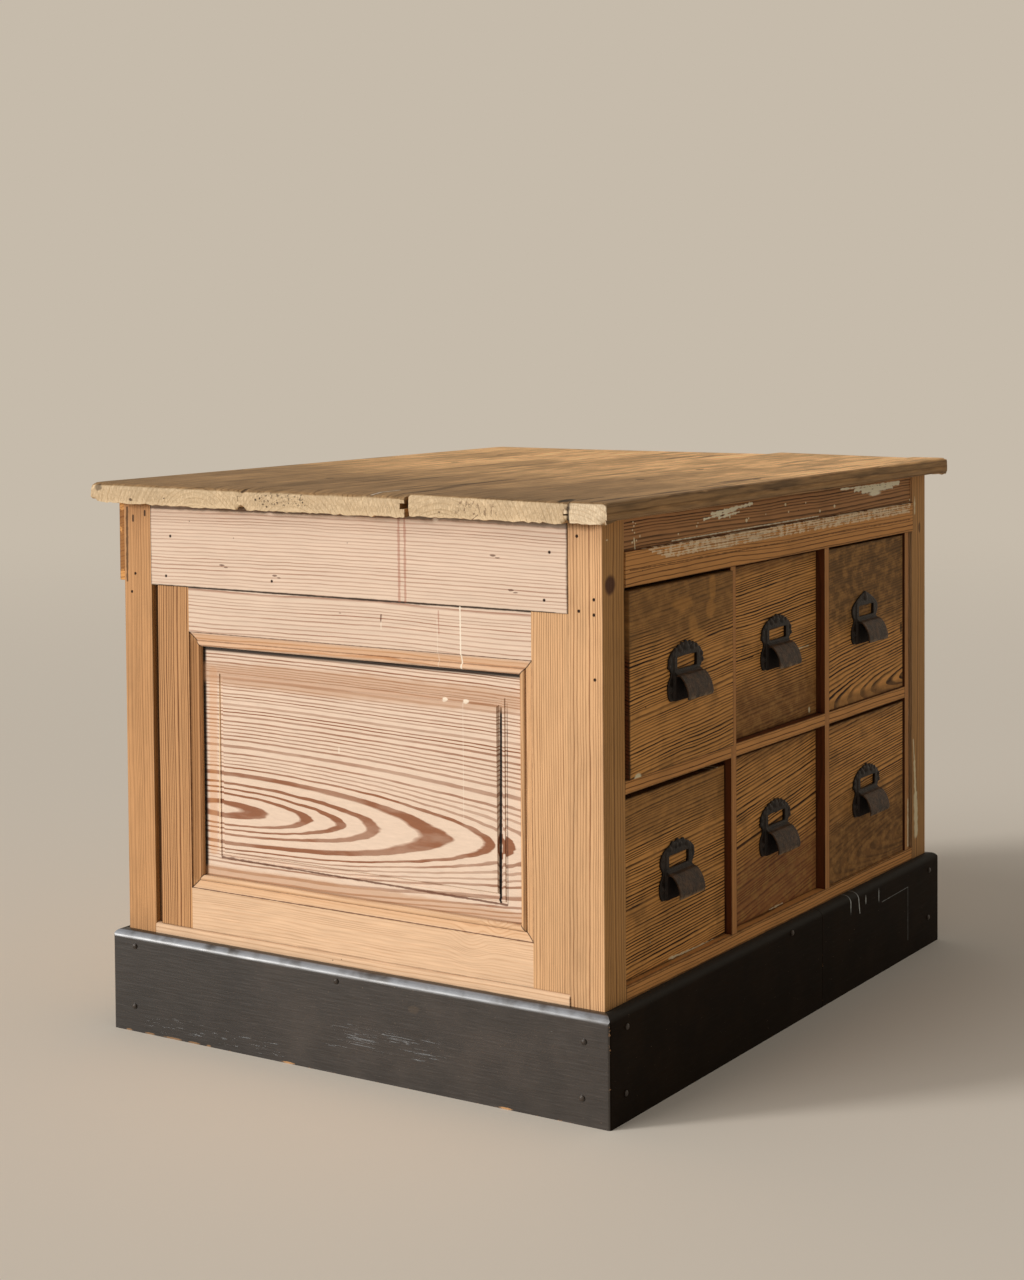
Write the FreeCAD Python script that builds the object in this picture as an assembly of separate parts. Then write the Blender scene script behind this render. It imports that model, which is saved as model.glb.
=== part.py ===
"""Old pine shop counter: panelled ends, six sliding drawers, plank top and painted plinth.

Millimetres. +X runs along the drawer face, -Y is the drawer side, +Z is up.
The origin is the middle of the overall box, on the floor.
"""
import math
import os

import FreeCAD
import Part

V = FreeCAD.Vector

# Overall sizes
overall_height = 862.0
carcass_length = 1122.0
carcass_depth = 868.0
plinth_height = 157.0
plinth_thickness = 18.0

# Top
top_thickness = 26.0
top_end_overhang = 37.0
top_front_overhang = 27.5
top_back_overhang = 36.0
nosing_width = 61.0
front_plank_width = 272.0
middle_plank_width = 297.0
front_plank_rise = 2.0
open_seam = 7.5
open_seam_round = 3.0
open_tongue_inset = 25.0
tongue_length = 7.0
tongue_play = 1.0
tongue_thickness = 8.0

# Corner posts and end frames
post_length = 58.0
post_depth = 56.0
frame_thickness = 28.0
stile_front_width = 60.0
stile_back_width = 62.0
shadow_gap_width = 12.0
shadow_gap_depth = 8.0
rail_top_height = 69.0
rail_bottom_height = 64.0
strip_height = 16.0
strip_round = 6.0
frieze_height = 132.0
frieze_thickness = 22.0
frieze_proud = 1.5

# Stuck moulding round each panel, across its width
moulding_width = 21.0
moulding_step = 1.2
moulding_fall = 4.4
quirk_at = 12.5
hollow_sag = 3.2
bead_top = 0.8
bead_side_depth = 3.6
groove_front = 8.0
groove_back = 16.0
groove_reach = 10.0
tenon_length = 30.0
tenon_shoulder = 12.0
tenon_front = 9.0
tenon_back = 19.0

# Raised panel
panel_play = 1.0
panel_fit = 0.2
panel_margin_side = 28.0
panel_margin_top = 36.0
panel_margin_bottom = 28.0
panel_bead_width = 4.5
panel_bead_height = 1.5
panel_bead_slope = 1.0
panel_valley = 6.0
panel_field_height = 3.6
panel_field_slope = 2.5

# Drawer side of the carcass
fascia_height = 48.5
fascia_setback = 3.0
rail_proud = 2.0
front_board_back = 22.0
top_drawer_rail_height = 50.5
mid_rail_height = 19.5
mid_rail_depth = 70.0
bottom_rail_height = 21.5
bottom_rail_depth = 60.0
divider_thickness = 16.5
column_extras = (6.0, 0.0, -4.0)
right_end_gap = 15.5
runner_width = 20.0
floor_thickness = 16.0

# Back
back_board_count = 6
back_board_thickness = 16.0
back_board_setback = 2.0
back_tongue = 6.0
back_tongue_thickness = 5.0
back_seam = 0.6
apron_thickness = 16.0
apron_height = 129.0
apron_end_inset = 8.0
batten_width = 45.0
batten_height = 22.0

# Drawers, row 1 above row 2, columns from left to right
front_thickness = 24.0
side_thickness = 12.0
drawer_rear_room = 70.0
drawer_side_gap = 3.0
running_clearance = 0.3
top_gaps = ((4.7, 4.2, 3.7), (10.7, 7.7, 5.7))
side_height_drop = 30.0
drawer_bottom_thickness = 8.0
drawer_bottom_lift = 8.0
groove_clearance = 0.2
bottom_groove = 6.0
tail_count = 4
tail_length = 16.0
tail_base_share = 0.27
tail_tip_share = 0.36
setbacks = ((-6.0, 13.5, 2.4), (10.0, 14.5, 2.4))

# Cast iron label-holder pulls
pull_half_width = 54.0
pull_height = 84.0
pull_projection = 27.0
ear_width = 16.0
ear_relief = 3.0
crest_height = 21.0
crest_knob = 4.4
window_width = 59.0
window_height = 18.0
window_bar = 4.0
frame_relief = 4.5
frame_side = 9.0
frame_point = 5.0
frame_top = 12.0
hood_wall = 2.5
hood_bottom = 3.0
boss_relief = 7.0
ear_screw_height = 18.0
pull_screw_radius = 2.0
pull_screw_play = 0.2
pull_screw_length = 16.0
pull_screw_head = 4.0
pull_screw_face = 2.4
pull_screw_rise = 1.8
pull_drops = ((37.75, 38.0, 34.25), (36.75, 38.75, 35.75))
pull_offsets = ((3.0, 4.0, -12.0), (5.0, 0.0, -7.0))

# Small roundings
edge_round = 1.5
nosing_top_round = 8.0
nosing_bottom_round = 4.0
plinth_round = 12.0
plinth_corner_round = 4.0
plinth_seam_at = 657.5
plinth_seam = 1.0

# How far a cutting block reaches past the wood
cut_past = 1.0

# Places worked out from the sizes
front_reach = max(top_front_overhang, pull_projection - min(min(row) for row in setbacks))
left_end = -carcass_length / 2
right_end = carcass_length / 2
overall_depth = front_reach + carcass_depth + top_back_overhang
face = front_reach - overall_depth / 2
back = face + carcass_depth
plank_top = overall_height - front_plank_rise
top_under = plank_top - top_thickness
frieze_bottom = top_under - frieze_height
strip_top = plinth_height + strip_height
rail_top_edge = frieze_bottom - rail_top_height
rail_bottom_edge = strip_top + rail_bottom_height
stile_front_edge = face + post_depth + stile_front_width
stile_back_edge = back - post_depth - shadow_gap_width - stile_back_width
bottom_rail_top = plinth_height + bottom_rail_height
fascia_bottom = top_under - fascia_height
rail_under = fascia_bottom - top_drawer_rail_height
row_height = (rail_under - bottom_rail_top - mid_rail_height) / 2
mid_rail_bottom = bottom_rail_top + row_height
mid_rail_top = mid_rail_bottom + mid_rail_height
back_inner = back - back_board_setback - back_board_thickness
drawer_length = back_inner - face - drawer_rear_room
hood_half_width = pull_half_width - ear_width
ear_screw_at = pull_half_width - ear_width / 2
window_bottom = pull_height - crest_height - window_height
hood_top = window_bottom - window_bar
row_floors = (mid_rail_top, bottom_rail_top)


def column_spans():
    """Clear left and right edges of the three drawer columns."""
    clear = carcass_length - 2 * post_length - right_end_gap
    width = (clear - sum(column_extras)) / len(column_extras) - divider_thickness
    spans = []
    left = left_end + post_length
    for extra in column_extras:
        spans.append((left, left + width + extra))
        left = left + width + extra + divider_thickness
    return spans


columns = column_spans()


def save(name, shape):
    shape.exportStep("parts/" + name + ".step")


def block(x0, x1, y0, y1, z0, z1):
    return Part.makeBox(x1 - x0, y1 - y0, z1 - z0, V(x0, y0, z0))


def face_from(edges):
    return Part.Face(Part.Wire(edges))


def polygon(points):
    return Part.Face(Part.makePolygon(points + [points[0]]))


def along_x(points, x0, x1):
    """Prism along X from an outline of (y, z) points."""
    return polygon([V(x0, y, z) for y, z in points]).extrude(V(x1 - x0, 0, 0))


def edges_near(shape, test):
    return [edge for edge in shape.Edges if test(edge.BoundBox)]


def rounded(shape, radius, test):
    chosen = edges_near(shape, test)
    if not chosen:
        return shape
    return shape.makeFillet(radius, chosen)


def flat(low, high, value):
    """True when a bounding range lies at one value."""
    return abs(low - value) < 0.01 and abs(high - value) < 0.01


def mirrored(shape):
    return shape.mirror(V(0, 0, 0), V(1, 0, 0))


def group(shapes):
    return Part.makeCompound(shapes)


# Corner posts
def corner_posts():
    for side, x0 in (("left", left_end), ("right", right_end - post_length)):
        for place, y0 in (("front", face), ("back", back - post_depth)):
            post = block(x0, x0 + post_length, y0, y0 + post_depth, 0, top_under)
            outer_x = left_end if side == "left" else right_end
            outer_y = face if place == "front" else back
            post = rounded(post, edge_round, lambda b: flat(b.XMin, b.XMax, outer_x)
                           and flat(b.YMin, b.YMax, outer_y))
            save("post_" + place + "_" + side, post)


# Stuck moulding: u runs from the flat of the member towards the panel, d is the depth
def moulding_section(origin, toward, inward):
    """Section face with its step, hollow, quirk and bead, and the panel groove behind."""
    def at(u, d):
        return origin + toward * u + inward * d
    middle = quirk_at / 2
    bead_middle = (quirk_at + moulding_width) / 2
    hollow = Part.Arc(at(0, moulding_step), at(middle, hollow_sag),
                      at(quirk_at, moulding_fall)).toShape()
    bead = Part.Arc(at(quirk_at, moulding_fall), at(bead_middle, bead_top),
                    at(moulding_width, bead_side_depth)).toShape()
    corners = [(moulding_width, bead_side_depth), (moulding_width, groove_front),
               (moulding_width - groove_reach, groove_front),
               (moulding_width - groove_reach, groove_back),
               (moulding_width, groove_back), (moulding_width, frame_thickness),
               (0, frame_thickness), (0, moulding_step)]
    points = [at(u, d) for u, d in corners]
    sides = [Part.makeLine(a, b) for a, b in zip(points, points[1:])]
    return face_from([hollow, bead] + sides)


def moulding(start, run, length, toward, inward):
    """Moulding strip between two flats, mitred at both ends."""
    strip = moulding_section(start, toward, inward).extrude(run * length)
    lift = inward * -cut_past
    corners = [start + lift, start + toward * moulding_width + run * moulding_width + lift,
               start + toward * moulding_width + run * (length - moulding_width) + lift,
               start + run * length + lift]
    mitre = polygon(corners).extrude(inward * (frame_thickness + 2 * cut_past))
    return strip.common(mitre)


def end_tenon(y0, y1, z0, z1, slack):
    """Tenon of a frame rail, or with slack its mortise."""
    return block(left_end + tenon_front, left_end + tenon_back, y0 - slack, y1 + slack, z0, z1)


def end_frame():
    """Stiles and rails of the left end frame, seen from its outer face."""
    inward = V(1, 0, 0)
    height = rail_top_edge - rail_bottom_edge
    width = stile_back_edge - stile_front_edge
    x0 = left_end
    x1 = left_end + frame_thickness
    y_front = face + post_depth
    y_back = back - post_depth - shadow_gap_width
    tenons = []
    for z0, z1 in ((rail_top_edge + tenon_shoulder, frieze_bottom - tenon_shoulder),
                   (strip_top + tenon_shoulder, rail_bottom_edge - tenon_shoulder)):
        front = end_tenon(stile_front_edge - tenon_length, stile_front_edge, z0, z1, 0)
        rear = end_tenon(stile_back_edge, stile_back_edge + tenon_length, z0, z1, 0)
        tenons.append((front, rear))

    front_stile = block(x0, x1, y_front, stile_front_edge, strip_top, frieze_bottom)
    front_stile = front_stile.fuse(moulding(V(x0, stile_front_edge, rail_bottom_edge),
                                            V(0, 0, 1), height, V(0, 1, 0), inward))
    back_stile = block(x0, x1, stile_back_edge, y_back, strip_top, frieze_bottom)
    lip = block(x0 + shadow_gap_depth, x1, y_back, y_back + shadow_gap_width,
                strip_top, frieze_bottom)
    back_stile = back_stile.fuse([lip, moulding(V(x0, stile_back_edge, rail_bottom_edge),
                                                V(0, 0, 1), height, V(0, -1, 0), inward)])
    for front, rear in tenons:
        front_stile = front_stile.cut(front)
        back_stile = back_stile.cut(rear)

    rail_top = block(x0, x1, stile_front_edge, stile_back_edge, rail_top_edge, frieze_bottom)
    rail_top = rail_top.fuse([moulding(V(x0, stile_front_edge, rail_top_edge), V(0, 1, 0),
                                       width, V(0, 0, -1), inward), *tenons[0]])
    rail_bottom = block(x0, x1, stile_front_edge, stile_back_edge, strip_top, rail_bottom_edge)
    rail_bottom = rail_bottom.fuse([moulding(V(x0, stile_front_edge, rail_bottom_edge),
                                             V(0, 1, 0), width, V(0, 0, 1), inward), *tenons[1]])
    return {"stile_front": front_stile, "stile_back": back_stile,
            "rail_top": rail_top, "rail_bottom": rail_bottom}


def raised(y0, y1, z0, z1, depth_back, depth_front, slope):
    """Block standing towards the room with sloping edges."""
    def ring(inset, depth):
        x = left_end + depth
        return Part.makePolygon([V(x, y0 + inset, z0 + inset), V(x, y1 - inset, z0 + inset),
                                 V(x, y1 - inset, z1 - inset), V(x, y0 + inset, z1 - inset),
                                 V(x, y0 + inset, z0 + inset)])
    return Part.makeLoft([ring(0, depth_back), ring(slope, depth_front)], True, True)


def end_panel():
    """Raised and fielded panel with a bead round the field."""
    y0 = stile_front_edge + moulding_width
    y1 = stile_back_edge - moulding_width
    z0 = rail_bottom_edge + moulding_width
    z1 = rail_top_edge - moulding_width
    reach = groove_reach - panel_play
    front = groove_front + panel_fit
    board = block(left_end + front, left_end + groove_back - panel_fit,
                  y0 - reach, y1 + reach, z0 - reach, z1 + reach)
    bead_y0 = y0 + panel_margin_side
    bead_y1 = y1 - panel_margin_side
    bead_z0 = z0 + panel_margin_bottom
    bead_z1 = z1 - panel_margin_top
    inner = panel_bead_width
    bead = raised(bead_y0, bead_y1, bead_z0, bead_z1, front, front - panel_bead_height,
                  panel_bead_slope)
    hollow = block(left_end, left_end + front, bead_y0 + inner, bead_y1 - inner,
                   bead_z0 + inner, bead_z1 - inner)
    bead = bead.cut(hollow)
    inset = panel_bead_width + panel_valley
    field = raised(bead_y0 + inset, bead_y1 - inset, bead_z0 + inset, bead_z1 - inset,
                   front, front - panel_field_height, panel_field_slope)
    return board.fuse([bead, field])


def end_pieces():
    pieces = end_frame()
    pieces["panel"] = end_panel()
    outer = left_end - frieze_proud
    frieze = block(outer, left_end + frieze_thickness, face + post_depth,
                   back - post_depth, frieze_bottom, top_under)
    pieces["frieze"] = rounded(frieze, edge_round, lambda b: flat(b.XMin, b.XMax, outer)
                               and flat(b.ZMin, b.ZMax, frieze_bottom))
    strip = block(outer, left_end + frame_thickness, face + post_depth,
                  back - post_depth, plinth_height, strip_top)
    pieces["bottom_strip"] = rounded(strip, strip_round, lambda b: flat(b.XMin, b.XMax, outer)
                                     and flat(b.ZMin, b.ZMax, strip_top))
    for name, shape in pieces.items():
        save("left_" + name, shape)
        save("right_" + name, mirrored(shape))


# Boards of the drawer side
def front_boards():
    x0 = left_end + post_length
    x1 = right_end - post_length
    fascia = block(x0, x1, face + fascia_setback, face + front_board_back,
                   fascia_bottom, top_under)
    save("fascia_board", fascia)
    rail = block(x0, x1, face - rail_proud, face + front_board_back, rail_under, fascia_bottom)
    rail = rounded(rail, edge_round, lambda b: flat(b.YMin, b.YMax, face - rail_proud)
                   and b.XLength > 100)
    save("top_drawer_rail", rail)
    bottom_rail = block(x0, x1, face, face + bottom_rail_depth, plinth_height, bottom_rail_top)
    save("bottom_rail", bottom_rail)
    rails = [block(a, b, face, face + mid_rail_depth, mid_rail_bottom, mid_rail_top)
             for a, b in columns]
    save("mid_rails", group(rails))


def partition(x0, name):
    """Full-depth board with its front edge between the rails."""
    outline = [(face, bottom_rail_top), (face + bottom_rail_depth, bottom_rail_top),
               (face + bottom_rail_depth, plinth_height), (back_inner, plinth_height),
               (back_inner, top_under), (face + front_board_back, top_under),
               (face + front_board_back, rail_under), (face, rail_under)]
    save(name, along_x(outline, x0, x0 + divider_thickness))


def partitions():
    x_left = columns[0][0] - divider_thickness
    left = block(x_left, x_left + divider_thickness, face + post_depth, back - post_depth,
                 plinth_height, top_under)
    save("left_partition", left)
    for (_, right_edge), name in zip(columns, ("divider_1", "divider_2", "right_partition")):
        partition(right_edge, name)


def runners():
    """Pairs of strips that carry the drawer sides, level with the rails in front."""
    strips = []
    for x0, x1 in columns:
        for top, bottom, start in ((mid_rail_top, mid_rail_bottom, face + mid_rail_depth),
                                   (bottom_rail_top, plinth_height, face + bottom_rail_depth)):
            strips.append(block(x0, x0 + runner_width, start, back_inner, bottom, top))
            strips.append(block(x1 - runner_width, x1, start, back_inner, bottom, top))
    save("drawer_runners", group(strips))


def floor_board():
    board = block(left_end, right_end, face, back, plinth_height - floor_thickness, plinth_height)
    corners = [block(x, x + post_length, y, y + post_depth, 0, plinth_height)
               for x in (left_end, right_end - post_length) for y in (face, back - post_depth)]
    save("floor_board", board.cut(corners))


# Back of the carcass
def back_parts():
    x0 = left_end + post_length
    pitch = (carcass_length - 2 * post_length) / back_board_count
    y1 = back - back_board_setback
    middle = (back_inner + y1) / 2
    half = back_tongue_thickness / 2
    boards = []
    for number in range(back_board_count):
        a = x0 + number * pitch
        last = number == back_board_count - 1
        b = a + pitch - (0 if last else back_seam)
        board = block(a, b, back_inner, y1, plinth_height, top_under)
        if number > 0:
            slot = block(a, a + back_tongue + back_seam, middle - half - groove_clearance,
                         middle + half + groove_clearance, plinth_height, top_under)
            board = board.cut(slot)
        if not last:
            board = board.fuse(block(b, b + back_tongue, middle - half, middle + half,
                                     plinth_height, top_under))
        boards.append(board)
    save("back_boards", group(boards))
    apron = block(left_end + apron_end_inset, right_end - apron_end_inset, back,
                  back + apron_thickness, top_under - apron_height, top_under)
    save("back_apron", apron)


# Plank top
def plank(x0, x1, y0, y1, rise):
    """One board of the top, with its far edge standing higher by the rise."""
    return along_x([(y0, top_under), (y1, top_under), (y1, plank_top + rise), (y0, plank_top)],
                   x0, x1)


def top_parts():
    x0 = left_end - top_end_overhang
    x1 = right_end + top_end_overhang
    front = face - top_front_overhang
    seams = [front, front + nosing_width]
    seams.append(seams[-1] + front_plank_width)
    seams.append(seams[-1] + middle_plank_width)
    seams.append(back + top_back_overhang)
    middle = (top_under + plank_top) / 2
    half = tongue_thickness / 2
    names = ("top_nosing", "top_plank_front", "top_plank_middle", "top_plank_back")
    for number, name in enumerate(names):
        is_open = name == "top_plank_front"
        gap = open_seam if is_open else 0
        inset = open_tongue_inset if is_open else 0
        y0 = seams[number]
        y1 = seams[number + 1] - gap
        board = plank(x0, x1, y0, y1, front_plank_rise if is_open else 0)
        if number == 0:
            board = rounded(board, nosing_top_round, lambda b: flat(b.YMin, b.YMax, front)
                            and flat(b.ZMin, b.ZMax, plank_top))
            board = rounded(board, nosing_bottom_round, lambda b: flat(b.YMin, b.YMax, front)
                            and flat(b.ZMin, b.ZMax, top_under))
        else:
            board = board.cut(block(x0, x1, y0, y0 + tongue_length + tongue_play,
                                    middle - half - groove_clearance,
                                    middle + half + groove_clearance))
        if is_open:
            board = rounded(board, open_seam_round, lambda b: flat(b.YMin, b.YMax, y1)
                            and flat(b.ZMin, b.ZMax, overall_height))
        if number < len(names) - 1:
            tongue = block(x0 + inset, x1 - inset, y1, y1 + gap + tongue_length,
                           middle - half, middle + half)
            board = board.fuse(tongue)
        save(name, board)
    battens = []
    for a, b in (columns[0], columns[2]):
        centre = (a + b) / 2
        battens.append(block(centre - batten_width / 2, centre + batten_width / 2,
                             face + front_board_back, back_inner,
                             top_under - batten_height, top_under))
    save("top_battens", group(battens))


# Plinth boards, mitred at the corners and rounded along the top
def plinth_section(along, start, end, out):
    """Board standing on the floor; along and out are unit vectors, start its inner corner."""
    t = plinth_thickness
    r = plinth_round
    up = V(0, 0, 1)
    length = (end - start).Length

    def at(o, z):
        return start - along * t + out * o + up * z
    rest = r * (1 - math.sqrt(0.5))
    arc = Part.Arc(at(t - r, plinth_height), at(t - rest, plinth_height - rest),
                   at(t, plinth_height - r)).toShape()
    corners = [at(t, plinth_height - r), at(t, 0), at(0, 0), at(0, plinth_height),
               at(t - r, plinth_height)]
    sides = [Part.makeLine(a, b) for a, b in zip(corners, corners[1:])]
    board = face_from([arc] + sides).extrude(along * (length + 2 * t))
    below = up * -cut_past
    mitre = polygon([start + below, start - along * t + out * t + below,
                     end + along * t + out * t + below,
                     end + below]).extrude(up * (plinth_height + 2 * cut_past))
    return board.common(mitre)


def plinth_outline():
    """Whole plinth block with its upright corners rounded."""
    t = plinth_thickness
    outline = block(left_end - t, right_end + t, face - t, back + t, 0, plinth_height)
    return rounded(outline, plinth_corner_round, lambda b: b.ZLength > plinth_height / 2)


def plinth():
    outline = plinth_outline()
    near_left = V(left_end, face, 0)
    near_right = V(right_end, face, 0)
    far_left = V(left_end, back, 0)
    far_right = V(right_end, back, 0)
    seam = left_end + plinth_seam_at
    front = plinth_section(V(1, 0, 0), near_left, near_right, V(0, -1, 0))
    outer = face - plinth_thickness - cut_past
    left_half = block(left_end - plinth_thickness - cut_past, seam - plinth_seam / 2,
                      outer, face, -cut_past, plinth_height + cut_past)
    right_half = block(seam + plinth_seam / 2, right_end + plinth_thickness + cut_past,
                       outer, face, -cut_past, plinth_height + cut_past)
    boards = {"front_left": front.common(left_half), "front_right": front.common(right_half),
              "back": plinth_section(V(1, 0, 0), far_left, far_right, V(0, 1, 0)),
              "left": plinth_section(V(0, 1, 0), near_left, far_left, V(-1, 0, 0)),
              "right": plinth_section(V(0, 1, 0), near_right, far_right, V(1, 0, 0))}
    for name, board in boards.items():
        save("plinth_" + name, board.common(outline))


# Drawers
def side_tails(x0, front_y, floor, height):
    """Dovetails at the front end of one drawer side."""
    pitch = height / tail_count
    tip_y = front_y + front_thickness - tail_length
    base_y = front_y + front_thickness
    tails = []
    for number in range(tail_count):
        centre = floor + pitch * (number + 0.5)
        base = pitch * tail_base_share
        tip = pitch * tail_tip_share
        outline = [(base_y, centre - base), (base_y, centre + base),
                   (tip_y, centre + tip), (tip_y, centre - tip)]
        tails.append(along_x(outline, x0, x0 + side_thickness))
    return tails


def drawer_box(x0, x1, front_y, floor, height):
    """Two sides with tails, a back and a bottom board, each its own solid."""
    rear = front_y + drawer_length
    bottom_z = floor + drawer_bottom_lift
    grooves_top = bottom_z + drawer_bottom_thickness + groove_clearance
    sides = []
    tails = []
    for outer, groove_from in ((x0, x0 + side_thickness - bottom_groove), (x1 - side_thickness,
                                                                          x1 - side_thickness)):
        board = block(outer, outer + side_thickness, front_y + front_thickness, rear,
                      floor, floor + height)
        own = side_tails(outer, front_y, floor, height)
        groove = block(groove_from, groove_from + bottom_groove, front_y, rear,
                       bottom_z, grooves_top)
        sides.append(board.fuse(own).cut(groove))
        tails += own
    inner_left = x0 + side_thickness
    inner_right = x1 - side_thickness
    bottom = block(inner_left - bottom_groove + groove_clearance,
                   inner_right + bottom_groove - groove_clearance,
                   front_y + front_thickness - bottom_groove, rear, bottom_z,
                   bottom_z + drawer_bottom_thickness)
    rear_board = block(inner_left, inner_right, rear - side_thickness, rear,
                       bottom_z + drawer_bottom_thickness, floor + height)
    return sides + [bottom, rear_board], tails


def drawer_front(x0, x1, front_y, floor, height, tails):
    board = block(x0, x1, front_y, front_y + front_thickness, floor, floor + height)
    board = rounded(board, edge_round, lambda b: flat(b.YMin, b.YMax, front_y))
    bottom_z = floor + drawer_bottom_lift
    groove = block(x0 + side_thickness - bottom_groove, x1 - side_thickness + bottom_groove,
                   front_y + front_thickness - bottom_groove - groove_clearance,
                   front_y + front_thickness,
                   bottom_z, bottom_z + drawer_bottom_thickness + groove_clearance)
    return board.cut(tails + [groove])


# Pulls, drawn about the middle of their lower edge: u across, v up, w out from the drawer
def pull_plate():
    """Back plate with scalloped crest, pinched waist and round ears."""
    edge = pull_half_width
    crest = pull_height - crest_knob
    waist = hood_top
    half = [(0, 0), (edge - 8.0, 0), (edge - 1.5, 9.0), (edge, ear_screw_height + 1.0),
            (edge - 2.5, waist - 13.0), (edge - 8.5, waist - 6.0), (edge - 10.0, waist - 1.0),
            (edge - 6.0, waist + 4.5), (edge - 2.5, window_bottom + 7.0),
            (edge - 4.0, crest - 16.6), (edge - 10.0, crest - 8.6), (edge - 24.0, crest - 3.1),
            (14.0, crest + 0.4), (0, crest + 0.4)]
    outline = half + [(-u, v) for u, v in reversed(half[1:-1])]
    plate = polygon([V(u, 0, v) for u, v in outline]).extrude(V(0, -ear_relief, 0))
    knobs = [(edge - 6.5, crest - 13.1), (edge - 23.0, crest - 3.8), (13.5, crest)]
    lobes = []
    for u, v in knobs:
        for side in (-1, 1):
            lobes.append(Part.makeCylinder(crest_knob, ear_relief, V(side * u, 0, v),
                                           V(0, -1, 0)))
    return plate.fuse(lobes)


def pull_frame():
    """Raised border round the card window."""
    side = window_width / 2 + frame_side
    low = window_bottom - frame_point
    high = window_bottom + window_height
    outer = [(-side, low), (side, low), (side + frame_point, window_bottom + window_height / 2),
             (side, high + frame_point), (frame_top, high + frame_top),
             (-frame_top, high + frame_top), (-side, high + frame_point),
             (-side - frame_point, window_bottom + window_height / 2)]
    return polygon([V(u, 0, v) for u, v in outer]).extrude(V(0, -frame_relief, 0))


def pull_hood():
    """Curved finger hood, open at the bottom and at both ends."""
    height = hood_top - hood_bottom
    rods = []
    for shrink in (0, hood_wall):
        out = V(0, shrink - pull_projection, 0)
        rise = V(0, 0, height - shrink)
        tall = rise.Length >= out.Length
        curve = Part.Ellipse(rise, out, V()) if tall else Part.Ellipse(out, rise, V())
        rod = Part.Face(Part.Wire([curve.toShape()])).extrude(V(2 * hood_half_width, 0, 0))
        rod.translate(V(-hood_half_width, 0, hood_bottom))
        rods.append(rod)
    keep = block(-hood_half_width, hood_half_width, -pull_projection, 0,
                 hood_bottom, hood_bottom + height)
    return rods[0].cut(rods[1]).common(keep)


def pull_boss():
    """Raised middle of the lower plate, as wide as the hood that covers it."""
    return block(-hood_half_width, hood_half_width, -boss_relief, 0, 0, hood_top)


def pull_screws(slack):
    """Shanks of the two ear screws, widened by the slack to make their holes."""
    shanks = []
    for side in (-1, 1):
        shanks.append(Part.makeCylinder(pull_screw_radius + slack, pull_screw_length + ear_relief,
                                        V(side * ear_screw_at, pull_screw_length,
                                          ear_screw_height), V(0, -1, 0)))
    return shanks


def pull():
    window = block(-window_width / 2, window_width / 2, -frame_relief - cut_past, cut_past,
                   window_bottom, window_bottom + window_height)
    iron = pull_plate().fuse([pull_frame(), pull_boss(), pull_hood()])
    iron = iron.cut([window] + pull_screws(pull_screw_play)).removeSplitter()
    screws = []
    for shank in pull_screws(0):
        head_at = V(shank.BoundBox.Center.x, -ear_relief, ear_screw_height)
        head = Part.makeCone(pull_screw_head, pull_screw_face, pull_screw_rise,
                             head_at, V(0, -1, 0))
        screws.append(shank.fuse(head))
    return [iron] + screws


def drawers():
    """Six drawers, each with its front, its box and its pull."""
    for row in range(2):
        for column, (left, right) in enumerate(columns):
            number = row * 3 + column + 1
            x0 = left + drawer_side_gap
            x1 = right - drawer_side_gap
            floor = row_floors[row] + running_clearance
            front_y = face + setbacks[row][column]
            front_height = row_height - running_clearance - top_gaps[row][column]
            box, tails = drawer_box(x0, x1, front_y, floor, front_height - side_height_drop)
            front = drawer_front(x0, x1, front_y, floor, front_height, tails)
            middle = (x0 + x1) / 2 + pull_offsets[row][column]
            lift = front_height / 2 - pull_drops[row][column]
            place = V(middle, front_y, floor + lift)
            holes = pull_screws(pull_screw_play)
            for hole in holes:
                hole.translate(place)
            handle = pull()
            for solid in handle:
                solid.translate(place)
            save("drawer_%d_front" % number, front.cut(holes))
            save("drawer_%d_box" % number, group(box))
            save("drawer_%d_pull" % number, group(handle))


os.makedirs("parts", exist_ok=True)
corner_posts()
end_pieces()
front_boards()
partitions()
runners()
floor_board()
back_parts()
top_parts()
plinth()
drawers()
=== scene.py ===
import math

import bpy
from mathutils import Euler, Matrix, Vector


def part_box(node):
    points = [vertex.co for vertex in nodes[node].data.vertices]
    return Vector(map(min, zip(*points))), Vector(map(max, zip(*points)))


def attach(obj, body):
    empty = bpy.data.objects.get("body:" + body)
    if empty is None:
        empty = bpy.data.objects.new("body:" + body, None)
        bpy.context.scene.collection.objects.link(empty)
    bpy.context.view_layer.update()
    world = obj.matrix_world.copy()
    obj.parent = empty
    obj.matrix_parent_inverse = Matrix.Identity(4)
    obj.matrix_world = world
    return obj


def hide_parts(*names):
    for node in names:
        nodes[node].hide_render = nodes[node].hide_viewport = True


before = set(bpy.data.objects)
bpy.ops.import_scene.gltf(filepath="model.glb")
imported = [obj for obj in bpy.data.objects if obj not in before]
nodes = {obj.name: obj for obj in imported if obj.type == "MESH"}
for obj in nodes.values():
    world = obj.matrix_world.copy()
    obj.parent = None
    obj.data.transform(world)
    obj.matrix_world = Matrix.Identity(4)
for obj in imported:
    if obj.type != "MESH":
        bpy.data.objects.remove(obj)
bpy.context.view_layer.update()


# Camera: its place in metres, the way it faces, and its lens in millimetres
camera_place = Vector((-3.255, -2.0255, 1.096))
camera_heading = math.radians(57.22)
camera_drop = math.radians(2.36)
camera_roll = math.radians(-0.43)
lens_length = 64.85
sensor_width = 36
lens_shift = -0.1698
view_reach = 200
sun_tint = (1.0, 0.97, 0.93)


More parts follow.
